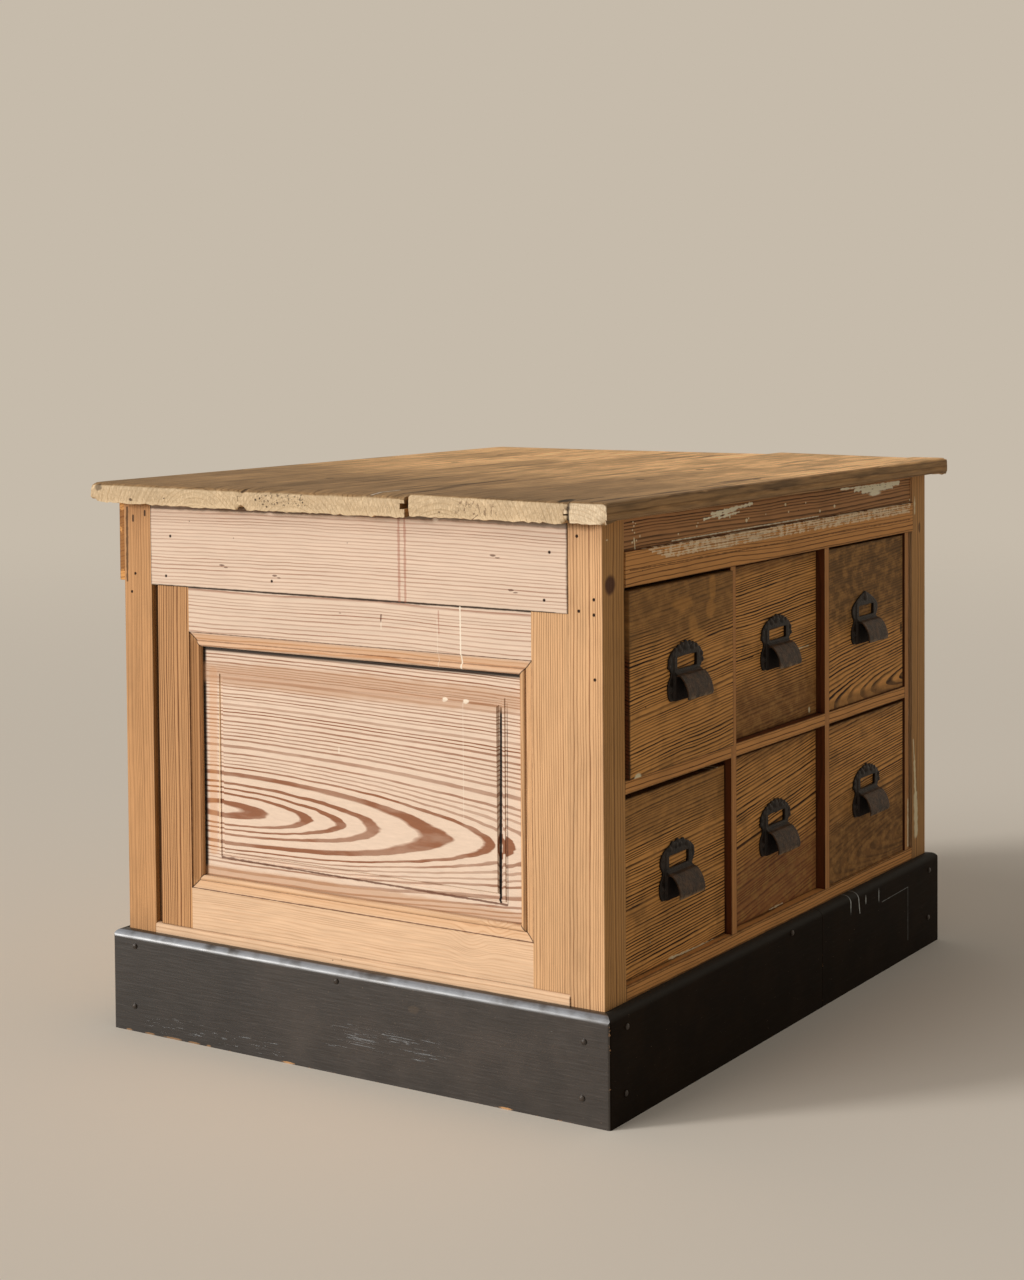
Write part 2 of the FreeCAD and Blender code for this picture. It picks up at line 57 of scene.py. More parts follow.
def place_camera():
    ahead = Vector((math.sin(camera_heading) * math.cos(camera_drop),
                    math.cos(camera_heading) * math.cos(camera_drop), -math.sin(camera_drop)))
    level = Vector((math.cos(camera_heading), -math.sin(camera_heading), 0))
    upward = level.cross(ahead)
    right = level * math.cos(camera_roll) + upward * math.sin(camera_roll)
    up = upward * math.cos(camera_roll) - level * math.sin(camera_roll)
    turn = Matrix((right, up, -ahead)).transposed().to_4x4()
    data = bpy.data.cameras.new("camera")
    data.lens = lens_length
    data.sensor_width = sensor_width
    data.shift_y = lens_shift
    data.clip_end = view_reach
    camera = bpy.data.objects.new("camera", data)
    camera.matrix_world = Matrix.Translation(camera_place) @ turn
    bpy.context.scene.collection.objects.link(camera)
    bpy.context.scene.camera = camera


def sun(name, toward, strength, spread, tint):
    """Soft lamp far off in one direction; a larger spread, in degrees, gives softer shadows."""
    data = bpy.data.lights.new(name, "SUN")
    data.energy = strength
    data.angle = math.radians(spread)
    data.color = tint
    lamp = bpy.data.objects.new(name, data)
    lamp.rotation_euler = Vector(toward).to_track_quat("Z", "Y").to_euler()
    bpy.context.scene.collection.objects.link(lamp)


class Recipe:
    """Writes nodes into one node tree and returns their sockets."""

    def __init__(self, tree):
        self.tree = tree

    def node(self, kind, inputs=None, **settings):
        made = self.tree.nodes.new(kind)
        for name, value in settings.items():
            setattr(made, name, value)
        for name, value in (inputs or {}).items():
            self.feed(made.inputs[name], value)
        return made

    def feed(self, socket, value):
        if isinstance(value, bpy.types.NodeSocket):
            self.tree.links.new(value, socket)
        else:
            socket.default_value = value

    def math(self, operation, a, b=0.0, c=0.0, clamp=False):
        made = self.node("ShaderNodeMath", {0: a, 1: b, 2: c}, operation=operation, use_clamp=clamp)
        return made.outputs[0]

    def times(self, a, b, clamp=False):
        return self.math("MULTIPLY", a, b, clamp=clamp)

    def times_plus(self, a, b, c):
        return self.math("MULTIPLY_ADD", a, b, c)

    def plus(self, a, b):
        return self.math("ADD", a, b)

    def minus(self, a, b):
        return self.math("SUBTRACT", a, b)

    def vector(self, operation, a, b=(0, 0, 0)):
        made = self.node("ShaderNodeVectorMath", {0: a, 1: b}, operation=operation)
        return made.outputs["Value" if operation in ("LENGTH", "DISTANCE", "DOT_PRODUCT") else 0]

    def scale(self, vector, by):
        return self.node("ShaderNodeVectorMath", {0: vector, "Scale": by},
                         operation="SCALE").outputs[0]

    def parts(self, vector):
        return self.node("ShaderNodeSeparateXYZ", {0: vector}).outputs

    def mix(self, share, a, b, blend="MIX"):
        made = self.node("ShaderNodeMix", {0: share, 6: a, 7: b}, data_type="RGBA",
                         blend_type=blend)
        return made.outputs[2]

    def fade(self, value, low, high, start=0.0, end=1.0):
        """Smooth step from start to end while the value goes from low to high."""
        made = self.node("ShaderNodeMapRange", {0: value, 1: low, 2: high, 3: start, 4: end},
                         interpolation_type="SMOOTHSTEP")
        return made.outputs[0]

    def noise(self, place, seed, detail=2.0, roughness=0.5):
        made = self.node("ShaderNodeTexNoise", {"Vector": place, "W": seed, "Scale": 1.0,
                                                "Detail": detail, "Roughness": roughness},
                         noise_dimensions="4D")
        return made.outputs[0]

    def stretch(self, place, along, across):
        return self.vector("MULTIPLY", place, (along, across, across))

    def grey(self, value):
        return self.node("ShaderNodeCombineColor", {0: value, 1: value, 2: value}).outputs[0]

    def use(self, group, inputs):
        return self.node("ShaderNodeGroup", inputs, node_tree=group)


def new_group(name, takes, gives):
    """Empty node group with named inputs and outputs, and its recipe."""
    tree = bpy.data.node_groups.new(name, "ShaderNodeTree")
    kinds = {"value": "NodeSocketFloat", "colour": "NodeSocketColor", "place": "NodeSocketVector"}
    for label, kind, default in takes:
        socket = tree.interface.new_socket(label, in_out="INPUT", socket_type=kinds[kind])
        if default is not None:
            socket.default_value = default
    for label, kind in gives:
        tree.interface.new_socket(label, in_out="OUTPUT", socket_type=kinds[kind])
    recipe = Recipe(tree)
    return recipe, recipe.node("NodeGroupInput").outputs, recipe.node("NodeGroupOutput").inputs


# Shared effects
worm_hole = (0.02, 0.012, 0.008, 1)
paint_fleck = (0.62, 0.53, 0.38, 1)


def make_pine():
    """Growth rings round a wandering heart; the first coordinate runs along the grain."""
    r, take, give = new_group("pine grain", [
        ("Place", "place", None), ("Ring Width", "value", 0.006), ("Waver", "value", 0.006),
        ("Dark Share", "value", 0.35), ("Contrast", "value", 1.0), ("Fibre", "value", 0.25),
        ("Patch", "value", 0.2), ("Swirl", "value", 0.0), ("Crowding", "value", 0.0),
        ("Wear", "value", 0.0), ("Pointed", "value", 0.0), ("Sharp", "value", 1.8),
        ("Seed", "value", 0.0), ("Early Wood", "colour", (0.8, 0.6, 0.4, 1)),
        ("Late Wood", "colour", (0.5, 0.3, 0.2, 1))],
        [("Color", "colour"), ("Ring", "value"), ("Height", "value")])
    place = take["Place"]
    seed = take["Seed"]
    flat = r.vector("MULTIPLY", place, (0, 1, 1))
    slow = r.minus(r.noise(r.stretch(place, 2.5, 6.0), seed, 1.0), 0.5)
    brisk = r.minus(r.noise(r.stretch(place, 14.0, 34.0), seed, 2.0), 0.5)
    rough = r.minus(r.noise(r.stretch(place, 34.0, 150.0), seed, 1.0), 0.5)
    round_reach = r.vector("LENGTH", flat)
    pointed_reach = r.vector("DOT_PRODUCT", r.vector("ABSOLUTE", flat), (0, 1, 1))
    reach = r.times_plus(r.minus(pointed_reach, round_reach), take["Pointed"], round_reach)
    reach = r.plus(reach, take["Swirl"])
    closer = r.times_plus(reach, take["Crowding"], 1.0)
    reach = r.times(reach, closer)
    reach = r.times_plus(slow, r.times(take["Waver"], 4.0), reach)
    reach = r.times_plus(brisk, r.times(take["Waver"], 0.7), reach)
    reach = r.times_plus(rough, r.times(take["Ring Width"], 0.22), reach)
    count = r.math("DIVIDE", reach, take["Ring Width"])
    years = r.node("ShaderNodeTexNoise", {"W": r.times_plus(count, 0.3, seed),
                                          "Scale": 1.0, "Detail": 0.0}, noise_dimensions="1D")
    count = r.times_plus(years.outputs[0], 1.6, count)
    part = r.math("FRACT", count)
    ring = r.math("FLOOR", count)
    strength = r.node("ShaderNodeTexWhiteNoise", {"W": r.plus(ring, seed)},
                      noise_dimensions="1D").outputs[0]
    strength = r.times_plus(strength, 0.5, 0.5)
    start = r.minus(1.0, take["Dark Share"])
    rise = r.math("DIVIDE", r.minus(part, start), take["Dark Share"], clamp=True)
    rise = r.math("POWER", r.times(rise, take["Sharp"], clamp=True), 0.7)
    late = r.times(rise, r.fade(part, 1.0, 0.93))
    late = r.times(late, strength)
    worn = r.noise(r.stretch(place, 8.0, 42.0), r.plus(seed, 2.0), 3.0, 0.6)
    worn = r.fade(worn, 0.38, 0.62)
    late = r.times(late, r.minus(1.0, r.times(worn, take["Wear"])))
    fibre = r.noise(r.stretch(place, 7.0, 700.0), seed, 2.0, 0.6)
    pores = r.noise(r.stretch(place, 24.0, 260.0), seed, 1.0)
    patch = r.noise(r.stretch(place, 3.0, 16.0), seed, 2.0)
    share = r.times(late, take["Contrast"], clamp=True)
    wood = r.mix(share, take["Early Wood"], take["Late Wood"])
    light = r.times_plus(r.minus(fibre, 0.5), take["Fibre"], 1.0)
    light = r.times_plus(r.minus(pores, 0.5), take["Fibre"], light)
    light = r.times_plus(r.minus(patch, 0.5), take["Patch"], light)
    r.feed(give["Color"], r.mix(1.0, wood, r.grey(light), "MULTIPLY"))
    r.feed(give["Ring"], share)
    r.feed(give["Height"], r.times_plus(fibre, 0.3, r.times(late, 0.8)))
    return r.tree


def make_age():
    """Grime along a board's edges, blotches, worm holes and flecks of old paint.

    Low and High are the board's corners, and Edge is how far a place is from its edges.
    """
    r, take, give = new_group("age", [
        ("Color", "colour", None), ("Place", "place", None), ("Low", "place", None),
        ("High", "place", None), ("Edge Grime", "value", 0.5), ("Edge Reach", "value", 0.003),
        ("Blotch", "value", 0.2), ("Blotch Size", "value", 0.1), ("Holes", "value", 0.0),
        ("Flecks", "value", 0.0), ("Seed", "value", 0.0),
        ("Grime", "colour", (0.05, 0.03, 0.015, 1))],
        [("Color", "colour"), ("Hole", "value"), ("Edge", "value")])
    place = take["Place"]
    seed = take["Seed"]
    from_low = r.vector("ABSOLUTE", r.vector("SUBTRACT", place, take["Low"]))
    from_high = r.vector("ABSOLUTE", r.vector("SUBTRACT", take["High"], place))
    near = r.parts(r.vector("MINIMUM", from_low, from_high))
    least = r.math("MINIMUM", r.math("MINIMUM", near[0], near[1]), near[2])
    most = r.math("MAXIMUM", r.math("MAXIMUM", near[0], near[1]), near[2])
    total = r.plus(r.plus(near[0], near[1]), near[2])
    edge = r.minus(r.minus(total, least), most)
    ragged = r.minus(r.noise(r.stretch(place, 60.0, 60.0), seed, 3.0), 0.35)
    edge = r.times_plus(ragged, take["Edge Reach"], edge)
    grime = r.times(r.fade(edge, take["Edge Reach"], 0.0), take["Edge Grime"])
    colour = r.mix(grime, take["Color"], take["Grime"])
    small = r.math("DIVIDE", 1.0, take["Blotch Size"])
    cloud = r.noise(r.scale(place, small), seed, 4.0, 0.6)
    blotch = r.times(r.fade(cloud, 0.48, 0.72), take["Blotch"])
    colour = r.mix(blotch, colour, take["Grime"])
    cells = r.node("ShaderNodeTexVoronoi", {"Vector": place, "Scale": 55.0}).outputs
    chosen = r.node("ShaderNodeSeparateColor", {0: cells["Color"]}).outputs[0]
    chosen = r.math("GREATER_THAN", take["Holes"], chosen)
    hole = r.times(r.fade(cells["Distance"], 0.085, 0.045), chosen)
    colour = r.mix(hole, colour, worm_hole)
    bits = r.node("ShaderNodeTexVoronoi", {"Vector": r.vector("ADD", place, seed),
                                           "Scale": 70.0}).outputs
    chosen = r.node("ShaderNodeSeparateColor", {0: bits["Color"]}).outputs[1]
    chosen = r.math("GREATER_THAN", take["Flecks"], chosen)
    fleck = r.times(r.fade(bits["Distance"], 0.13, 0.07), chosen)
    r.feed(give["Color"], r.mix(fleck, colour, paint_fleck))
    r.feed(give["Hole"], hole)
    r.feed(give["Edge"], edge)
    return r.tree


def make_dark_line():
    """Mask along a straight line between two points, such as a mitre or a drip."""
    r, take, give = new_group("line", [
        ("Place", "place", None), ("From", "place", None), ("To", "place", None),
        ("Width", "value", 0.001), ("Broken", "value", 0.0)], [("Mask", "value")])
    run = r.vector("SUBTRACT", take["To"], take["From"])
    out = r.vector("SUBTRACT", take["Place"], take["From"])
    share = r.math("DIVIDE", r.vector("DOT_PRODUCT", out, run), r.vector("DOT_PRODUCT", run, run),
                   clamp=True)
    away = r.vector("DISTANCE", out, r.scale(run, share))
    gaps = r.minus(r.noise(r.stretch(take["Place"], 90.0, 90.0), 3.0, 2.0), 0.42)
    width = r.times(take["Width"], r.times_plus(r.times(gaps, take["Broken"]), -6.0, 1.0))
    width = r.math("MAXIMUM", width, 0.00001)
    r.feed(give["Mask"], r.fade(away, width, r.times(width, 0.4)))
    return r.tree


def make_old_paint():
    """Ragged remains of paint inside a soft box, drawn out along one direction."""
    r, take, give = new_group("old paint", [
        ("Place", "place", None), ("Centre", "place", None), ("Half Size", "place", None),
        ("Cover", "value", 0.5), ("Flake", "place", (30, 60, 60)), ("Seed", "value", 0.0)],
        [("Mask", "value")])
    out = r.vector("ABSOLUTE", r.vector("SUBTRACT", take["Place"], take["Centre"]))
    parts = r.parts(r.vector("DIVIDE", out, take["Half Size"]))
    most = r.math("MAXIMUM", r.math("MAXIMUM", parts[0], parts[1]), parts[2])
    inside = r.fade(most, 1.0, 0.35)
    flakes = r.noise(r.vector("MULTIPLY", take["Place"], take["Flake"]), take["Seed"], 5.0, 0.65)
    level = r.times_plus(take["Cover"], -0.35, 0.76)
    value = r.times(flakes, inside)
    r.feed(give["Mask"], r.fade(value, level, r.plus(level, 0.03)))
    return r.tree


pine_grain = make_pine()
age = make_age()
dark_line = make_dark_line()
old_paint = make_old_paint()


def linear(red, green, blue):
    """Shown colour, 0 to 255, as a shader colour."""
    return tuple(((v / 255 + 0.055) / 1.055) ** 2.4 if v > 10 else v / 3295
                 for v in (red, green, blue)) + (1,)


def grain_mapping(normal, across, centre, depth, side, lean=0.0, dive=0.0):
    """Turn and shift that put the heart of the log on the first axis.

    The heart lies depth behind the face and side away from the board's middle; lean turns
    it in the plane of the face and dive tips it into the board, both in radians.
    """
    n = Vector(normal)
    l = Vector(across)
    turn = Euler((0, dive, lean)).to_matrix() @ Matrix((l.cross(n), l, n))
    heart = Vector(centre) - n * depth + l * side
    return turn.to_euler(), -(turn @ heart)


def start_material(name):
    made = bpy.data.materials.new(name)
    made.use_nodes = True
    made.node_tree.nodes.clear()
    r = Recipe(made.node_tree)
    place = r.node("ShaderNodeTexCoord").outputs["Object"]
    return made, r, place


def finish_material(r, colour, roughness, height, relief, shine):
    bump = r.node("ShaderNodeBump", {"Height": height, "Distance": relief, "Strength": 1.0})
    shader = r.node("ShaderNodeBsdfPrincipled", {"Base Color": colour, "Roughness": roughness,
                                                 "Normal": bump.outputs[0],
                                                 "Specular IOR Level": shine})
    r.node("ShaderNodeOutputMaterial", {"Surface": shader.outputs[0]})


def give(node, material):
    mesh = nodes[node].data
    mesh.materials.clear()
    mesh.materials.append(material)


# Faces of a board by the side that shows, tints and tones of its wood
axes = {"x": Vector((1, 0, 0)), "y": Vector((0, 1, 0)), "z": Vector((0, 0, 1))}
seen_from = {"end": -axes["x"], "side": -axes["y"], "top": axes["z"]}
flat_on = {"end": (0, 1, 1), "side": (1, 0, 1), "top": (1, 1, 0)}
nail_dark = linear(40, 24, 16)
knot_brown = linear(84, 46, 30)
nail_hole = 0.0028
wood_roughness = 0.62
wood_shine = 0.12

# Early and late wood of each tone
tones = {
    "pale": (linear(222, 198, 177), linear(144, 88, 62)),
    "tan": (linear(212, 168, 124), linear(122, 74, 40)),
    "shade": (linear(194, 146, 100), linear(104, 60, 32)),
    "panel": (linear(225, 201, 180), linear(144, 95, 68)),
    "strip": (linear(221, 186, 152), linear(170, 120, 82)),
    "front": (linear(214, 154, 86), linear(38, 18, 6)),
    "rust": (linear(182, 132, 86), linear(50, 31, 17)),
    "dark": (linear(210, 150, 88), linear(62, 32, 14)),
    "olive": (linear(190, 142, 88), linear(104, 70, 38)),
    "orange": (linear(214, 156, 92), linear(132, 80, 40)),
    "slat": (linear(196, 140, 86), linear(120, 70, 34)),
    # Dark tone for faces inside the openings: painted shade over darker end grain
    "reveal_shade": (linear(100, 54, 28), linear(54, 26, 12)),
    "inner": (linear(206, 166, 118), linear(140, 92, 52)),
    "top": (linear(211, 168, 119), linear(122, 88, 53)),
    "end": (linear(215, 189, 153), linear(190, 161, 124)),
    "end_pale": (linear(230, 208, 176), linear(210, 182, 148)),
    "nose": (linear(168, 129, 84), linear(88, 62, 36)),
}


class Marks:
    """Adds marks to one board's colour and height; a mark lies flat on the seen face."""

    def __init__(self, r, place, flat, colour, height):
        self.r = r
        self.raw = place
        self.flat = flat
        self.place = r.vector("MULTIPLY", place, flat)
        self.colour = colour
        self.height = height

    def turn(self, flat):
        self.flat = flat
        self.place = self.r.vector("MULTIPLY", self.raw, flat)

    def on_face(self, point):
        return tuple(a * b for a, b in zip(point, self.flat))

    def add(self, marks):
        for kind, *values in marks:
            named = values.pop() if isinstance(values[-1], dict) else {}
            getattr(self, kind)(*values, **named)

    def tint(self, mask, amount, colour):
        self.colour = self.r.mix(self.r.times(mask, amount), self.colour, colour)

    def line(self, start, end, width, broken=0.0, tint=nail_dark, amount=0.8, through=False):
        put = (lambda point: point) if through else self.on_face
        mask = self.r.use(dark_line, {"Place": self.raw if through else self.place,
                                      "From": put(start), "To": put(end), "Width": width,
                                      "Broken": broken}).outputs[0]
        self.tint(mask, amount, tint)

    def nail(self, point):
        away = self.r.vector("DISTANCE", self.place, self.on_face(point))
        mask = self.r.fade(away, nail_hole, nail_hole * 0.5)
        self.tint(mask, 1.0, nail_dark)
        self.height = self.r.minus(self.height, self.r.times(mask, 3.0))

    def patch(self, point, half, tint, amount, ragged=0.6):
        """Soft stain or knot with an uneven edge."""
        r = self.r
        out = r.vector("SUBTRACT", self.place, self.on_face(point))
        reach = r.vector("LENGTH", r.vector("DIVIDE", out, half))
        uneven = r.noise(r.stretch(self.place, 0.6 / min(half), 0.6 / min(half)), point[0], 2.0)
        reach = r.times_plus(r.minus(uneven, 0.5), ragged, reach)
        self.tint(r.fade(reach, 1.0, 0.55), amount, tint)

    def mud(self, point, half, tint, paler, amount):
        """Grimy band with clouds of a paler colour in it."""
        r = self.r
        out = r.vector("SUBTRACT", self.place, self.on_face(point))
        reach = r.vector("LENGTH", r.vector("DIVIDE", out, half))
        uneven = r.noise(r.stretch(self.place, 16.0, 16.0), point[2], 3.0)
        reach = r.times_plus(r.minus(uneven, 0.5), 0.8, reach)
        cloud = r.noise(r.stretch(self.place, 45.0, 70.0), point[2] + 5.0, 4.0, 0.65)
        colour = r.mix(r.fade(cloud, 0.42, 0.66), tint, paler)
        self.tint(r.fade(reach, 1.05, 0.55), amount, colour)

    def paint(self, point, half, cover, flake, tint, amount, seed=0.0):
        """Remains of paint; cover is how much is left, flake how fine it is along each axis."""
        r = self.r
        mask = r.use(old_paint, {"Place": self.place, "Centre": self.on_face(point),
                                 "Half Size": half, "Cover": cover, "Flake": flake,
                                 "Seed": seed}).outputs[0]
        self.tint(mask, amount, tint)
        self.height = r.times_plus(mask, 0.6, self.height)


def board(node, face, grain, tone, ring=0.006, depth=0.05, side=0.15, lean=0.0, dive=0.0,
          waver=0.003, contrast=1.0, dark_share=0.3, centre=None, fibre=0.3, relief=0.0003,
          other=("", None), ends=None, edge=0.5, edge_reach=0.0022, blotch=0.15,
          blotch_size=0.1, patch=0.2, holes=0.015, flecks=0.0, box=None, swirls=(),
          crowding=0.0, pointed=0.0, sharp=1.8, wear=0.25, finish=None, marks=(), more=None):
    """Pine material of one board: face is the side that is seen, grain the axis of its length.

    ring, depth, side, lean, dive, crowding and pointed shape the growth rings; other gives the
    faces across some axes a tone of their own, and ends the end grain; more holds the marks of
    the board's other faces.
    """
    low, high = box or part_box(node)
    normal = seen_from[face]
    across = [v for k, v in axes.items() if k != grain and abs(v.dot(normal)) < 0.5][0]
    middle = (low + high) / 2
    for axis in range(3):
        if abs(normal[axis]) > 0.5:
            middle[axis] = low[axis] if normal[axis] < 0 else high[axis]
    rotation, location = grain_mapping(normal, across, centre or middle, depth, side, lean, dive)
    material, r, place = start_material(node + "_pine")
    grain_place = r.node("ShaderNodeMapping", {"Vector": place, "Location": location,
                                               "Rotation": rotation}).outputs[0]
    early, late = tones[tone]
    facing = r.node("ShaderNodeTexCoord").outputs["Normal"]
    for letter, tone_there in [(letter, other[1]) for letter in other[0]] + [(grain, ends)]:
        if tone_there:
            direction = axes[letter]
            turned = r.math("ABSOLUTE", r.vector("DOT_PRODUCT", facing, direction))
            turned = r.fade(turned, 0.45, 0.8)
            early = r.mix(turned, early, tones[tone_there][0])
            late = r.mix(turned, late, tones[tone_there][1])
    # each board gets a pattern of its own, from the letters of its name
    seed = sum(ord(c) * (i + 3) for i, c in enumerate(node)) % 97 * 1.37
    swirl = 0.0
    for point, radius, strength in swirls:
        away = r.vector("DISTANCE", place, point)
        swirl = r.times_plus(r.fade(away, radius, 0.0), strength, swirl)
    wood = r.use(pine_grain, {"Place": grain_place, "Ring Width": ring, "Waver": waver,
                              "Dark Share": dark_share, "Contrast": contrast,
                              "Fibre": fibre, "Patch": patch, "Swirl": swirl,
                              "Crowding": crowding, "Wear": wear, "Pointed": pointed,
                              "Sharp": sharp, "Seed": seed,
                              "Early Wood": early, "Late Wood": late}).outputs
    colour = finish(r, place, wood["Color"], seed) if finish else wood["Color"]
    aged = r.use(age, {"Color": colour, "Place": place, "Low": low, "High": high,
                       "Edge Grime": edge, "Edge Reach": edge_reach, "Blotch": blotch,
                       "Blotch Size": blotch_size, "Holes": holes, "Flecks": flecks,
                       "Seed": seed}).outputs
    height = r.minus(wood["Height"], r.times(aged["Hole"], 2.0))
    marked = Marks(r, place, flat_on[face], aged["Color"], height)
    marked.add(marks)
    for other_face, other_marks in (more or {}).items():
        marked.turn(flat_on[other_face])
        marked.add(other_marks)
    finish_material(r, marked.colour, wood_roughness, marked.height, relief, wood_shine)
    give(node, material)


# A mark's places as the face shows them: y and z on the ends, x and z on the drawer side
def end_line(y0, z0, y1, z1, *look):
    return ("line", (0, y0, z0), (0, y1, z1), *look)


def end_patch(y, z, half_y, half_z, *look):
    return ("patch", (0, y, z), (1, half_y, half_z), *look)


def end_paint(y, z, half_y, half_z, cover, flake_y, flake_z, *look):
    return ("paint", (0, y, z), (1, half_y, half_z), cover, (1, flake_y, flake_z), *look)


def end_nail(y, z):
    return ("nail", (0, y, z))


def side_line(x0, z0, x1, z1, *look):
    return ("line", (x0, 0, z0), (x1, 0, z1), *look)


def side_patch(x, z, half_x, half_z, *look):
    return ("patch", (x, 0, z), (half_x, 1, half_z), *look)


# Where the left panel shows: groove is how deep it sits in its frame, frame_width how wide the
# moulding round it is, and end_x how far the panelled faces lie from the middle
panel_low, panel_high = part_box("left_panel")
groove = 0.009
front_y, back_y = panel_low.y + groove, panel_high.y - groove
low_z, high_z = panel_low.z + groove, panel_high.z - groove
frame_width = 0.021
end_x = 0.561
out_y, in_y = front_y - frame_width, back_y + frame_width
out_z, in_z = low_z - frame_width, high_z + frame_width

# End frames, top to bottom
rose = linear(160, 92, 70)
drip_white = linear(240, 226, 206)
shadow_brown = linear(34, 18, 10)
# Painted shade on the moulding beside the panel
recess_shade_brown = linear(130, 84, 44)
valley_shade_brown = linear(96, 54, 34)
edge_highlight = linear(240, 206, 162)
slope_amber = linear(214, 148, 86)
slope_shade = linear(186, 142, 108)
foot_shade = linear(188, 140, 100)
warm_tan = linear(214, 156, 98)
shadow_black = linear(14, 7, 4)

# Painted shade with grime in the creases at both edges of the moulding's bead, all round
bead_shade_lines = []
for inset, width, amount in ((0, 0.0012, 0.75), (0.0125, 0.0013, 0.45)):
    y0, y1, z0, z1 = out_y + inset, in_y - inset, out_z + inset, in_z - inset
    for a, b in (((0, y0, z0), (0, y0, z1)), ((0, y1, z0), (0, y1, z1)),
                 ((0, y0, z0), (0, y1, z0)), ((0, y0, z1), (0, y1, z1))):
        bead_shade_lines.append(("line", a, b, width, 0.3, knot_brown, amount))
stile_low, stile_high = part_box("left_stile_back")
stile_edge = stile_high.y - 0.006
# Painted shadow in the gap by the back stile, and painted shade on the moulding next to the panel
recess_shade = [end_line(stile_edge, stile_low.z, stile_edge, stile_high.z, 0.0085, 0.0,
                   shadow_brown, 0.75),
          end_line(back_y + 0.012, low_z, back_y + 0.012, high_z, 0.013, 0.0, recess_shade_brown, 0.35)]
mitres = [end_line(outer_y, outer_z, inner_y, inner_z, 0.0012)
          for outer_z, inner_z in ((out_z, low_z), (in_z, high_z))
          for outer_y, inner_y in ((out_y, front_y), (in_y, back_y))]
# Drips, nails, the shadow under the top and knots
frieze_marks = [end_line(-0.096, 0.8248, -0.0963, 0.702, 0.0034, 0.35, rose, 0.5),
                end_line(-0.1066, 0.8252, -0.1069, 0.7012, 0.003, 0.35, rose, 0.5),
                end_nail(0.336, 0.779), end_nail(0.3455, 0.717), end_nail(0.1375, 0.7197),
                end_line(0.375, 0.8225, -0.154, 0.8262, 0.004, 0.2, shadow_brown, 0.55),
                end_line(-0.168, 0.8278, -0.385, 0.8235, 0.006, 0.2, shadow_brown, 0.5),
                end_patch(-0.161, 0.8235, 0.006, 0.0025, drip_white, 0.6),
                end_nail(-0.3515, 0.786), end_nail(-0.3425, 0.719)]
for y, z in ((0.234, 0.7391), (0.1321, 0.7284), (-0.2578, 0.7772), (-0.2875, 0.73)):
    frieze_marks += [end_patch(y, z, 0.006, 0.002, knot_brown, 0.75, 0.9),
                     end_patch(y - 0.008, z - 0.003, 0.005, 0.0014, knot_brown, 0.65, 0.9)]
rail_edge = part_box("left_rail_top")[1].z
# Painted shadow of the proud frieze along the top rail's upper edge
shadow_under_frieze = [end_line(-0.36, rail_edge, 0.36, rail_edge, 0.0022, 0.15, shadow_brown, 0.8)]
upper_z, lower_z = in_z - frame_width / 2, out_z + frame_width / 2
moulding_top = [end_line(in_y, upper_z, out_y, upper_z, 0.0125, 0.0, warm_tan, 0.5)]
moulding_foot = [end_line(in_y, lower_z, out_y, lower_z, 0.0125, 0.0, warm_tan, 0.25)]
rail_marks = [end_line(-0.2006, 0.7015, -0.2014, 0.6085, 0.0019, 0.35, drip_white, 1.0),
              end_line(-0.062, 0.6811, -0.0619, 0.671, 0.0024, 0.4, knot_brown, 0.8),
              end_line(-0.1633, 0.6933, -0.1640, 0.66, 0.0016, 0.4, rose, 0.5),
              end_line(-0.1608, 0.68, -0.1618, 0.6113, 0.001, 0.6, drip_white, 0.4),
              end_patch(-0.0622, 0.666, 0.0014, 0.008, drip_white, 0.5),
              end_patch(0.012, 0.6795, 0.003, 0.001, knot_brown, 0.6),
              end_patch(-0.1391, 0.5995, 0.002, 0.002, knot_brown, 0.6)]
# Painted shadow round the panel under its moulding and in the valley of its raised field, painted
# shade at the field's foot, a painted highlight on its left edge, and tints and shade on its slopes
panel_shade = [end_line(front_y, high_z, back_y, high_z, 0.009, 0.0, shadow_black, 0.95),
               end_line(back_y, low_z, back_y, high_z, 0.0085, 0.0, shadow_black, 0.95),
               end_line(front_y, low_z, front_y, high_z, 0.0045, 0.0, shadow_brown, 0.7),
               end_line(front_y, low_z, back_y, low_z, 0.003, 0.0, shadow_brown, 0.6),
               end_line(-0.2634, 0.5612, -0.2609, 0.2852, 0.003, 0.1, shadow_black, 1.0),
               end_line(-0.2736, 0.5691, -0.2727, 0.2825, 0.0009, 0.3, shadow_brown, 0.85),
               end_line(0.247, 0.289, -0.271, 0.2823, 0.0026, 0.3, valley_shade_brown, 0.85),
               # Painted highlight on the raised field's lit left edge
               end_line(0.2478, 0.5736, 0.2523, 0.2989, 0.0022, 0.4, edge_highlight, 0.55),
               end_line(0.262, 0.5736, 0.265, 0.2989, 0.011, 0.0, slope_amber, 0.3),
               end_patch(0.0, 0.572, 0.6, 0.024, slope_shade, 0.55, 0.5),
               end_patch(0.0, 0.2655, 0.6, 0.013, foot_shade, 0.5, 0.4)]
panel_marks = [end_patch(-0.1683, 0.5658, 0.0062, 0.0036, drip_white, 0.95, 0.45),
               end_patch(-0.2044, 0.5659, 0.0062, 0.0036, drip_white, 0.95, 0.45),
               end_line(-0.201, 0.5685, -0.201, 0.3969, 0.0012, 0.5, drip_white, 0.3),
               end_patch(0.02, 0.475, 0.002, 0.006, drip_white, 0.5)]
upper_look = dict(dark_share=0.4, blotch=0.0, edge=0.8, edge_reach=0.0035, fibre=0.2, patch=0.12)
stile_look = dict(depth=0.04, side=0.2, blotch=0.0, dark_share=0.45, patch=0.5, relief=0.0005)
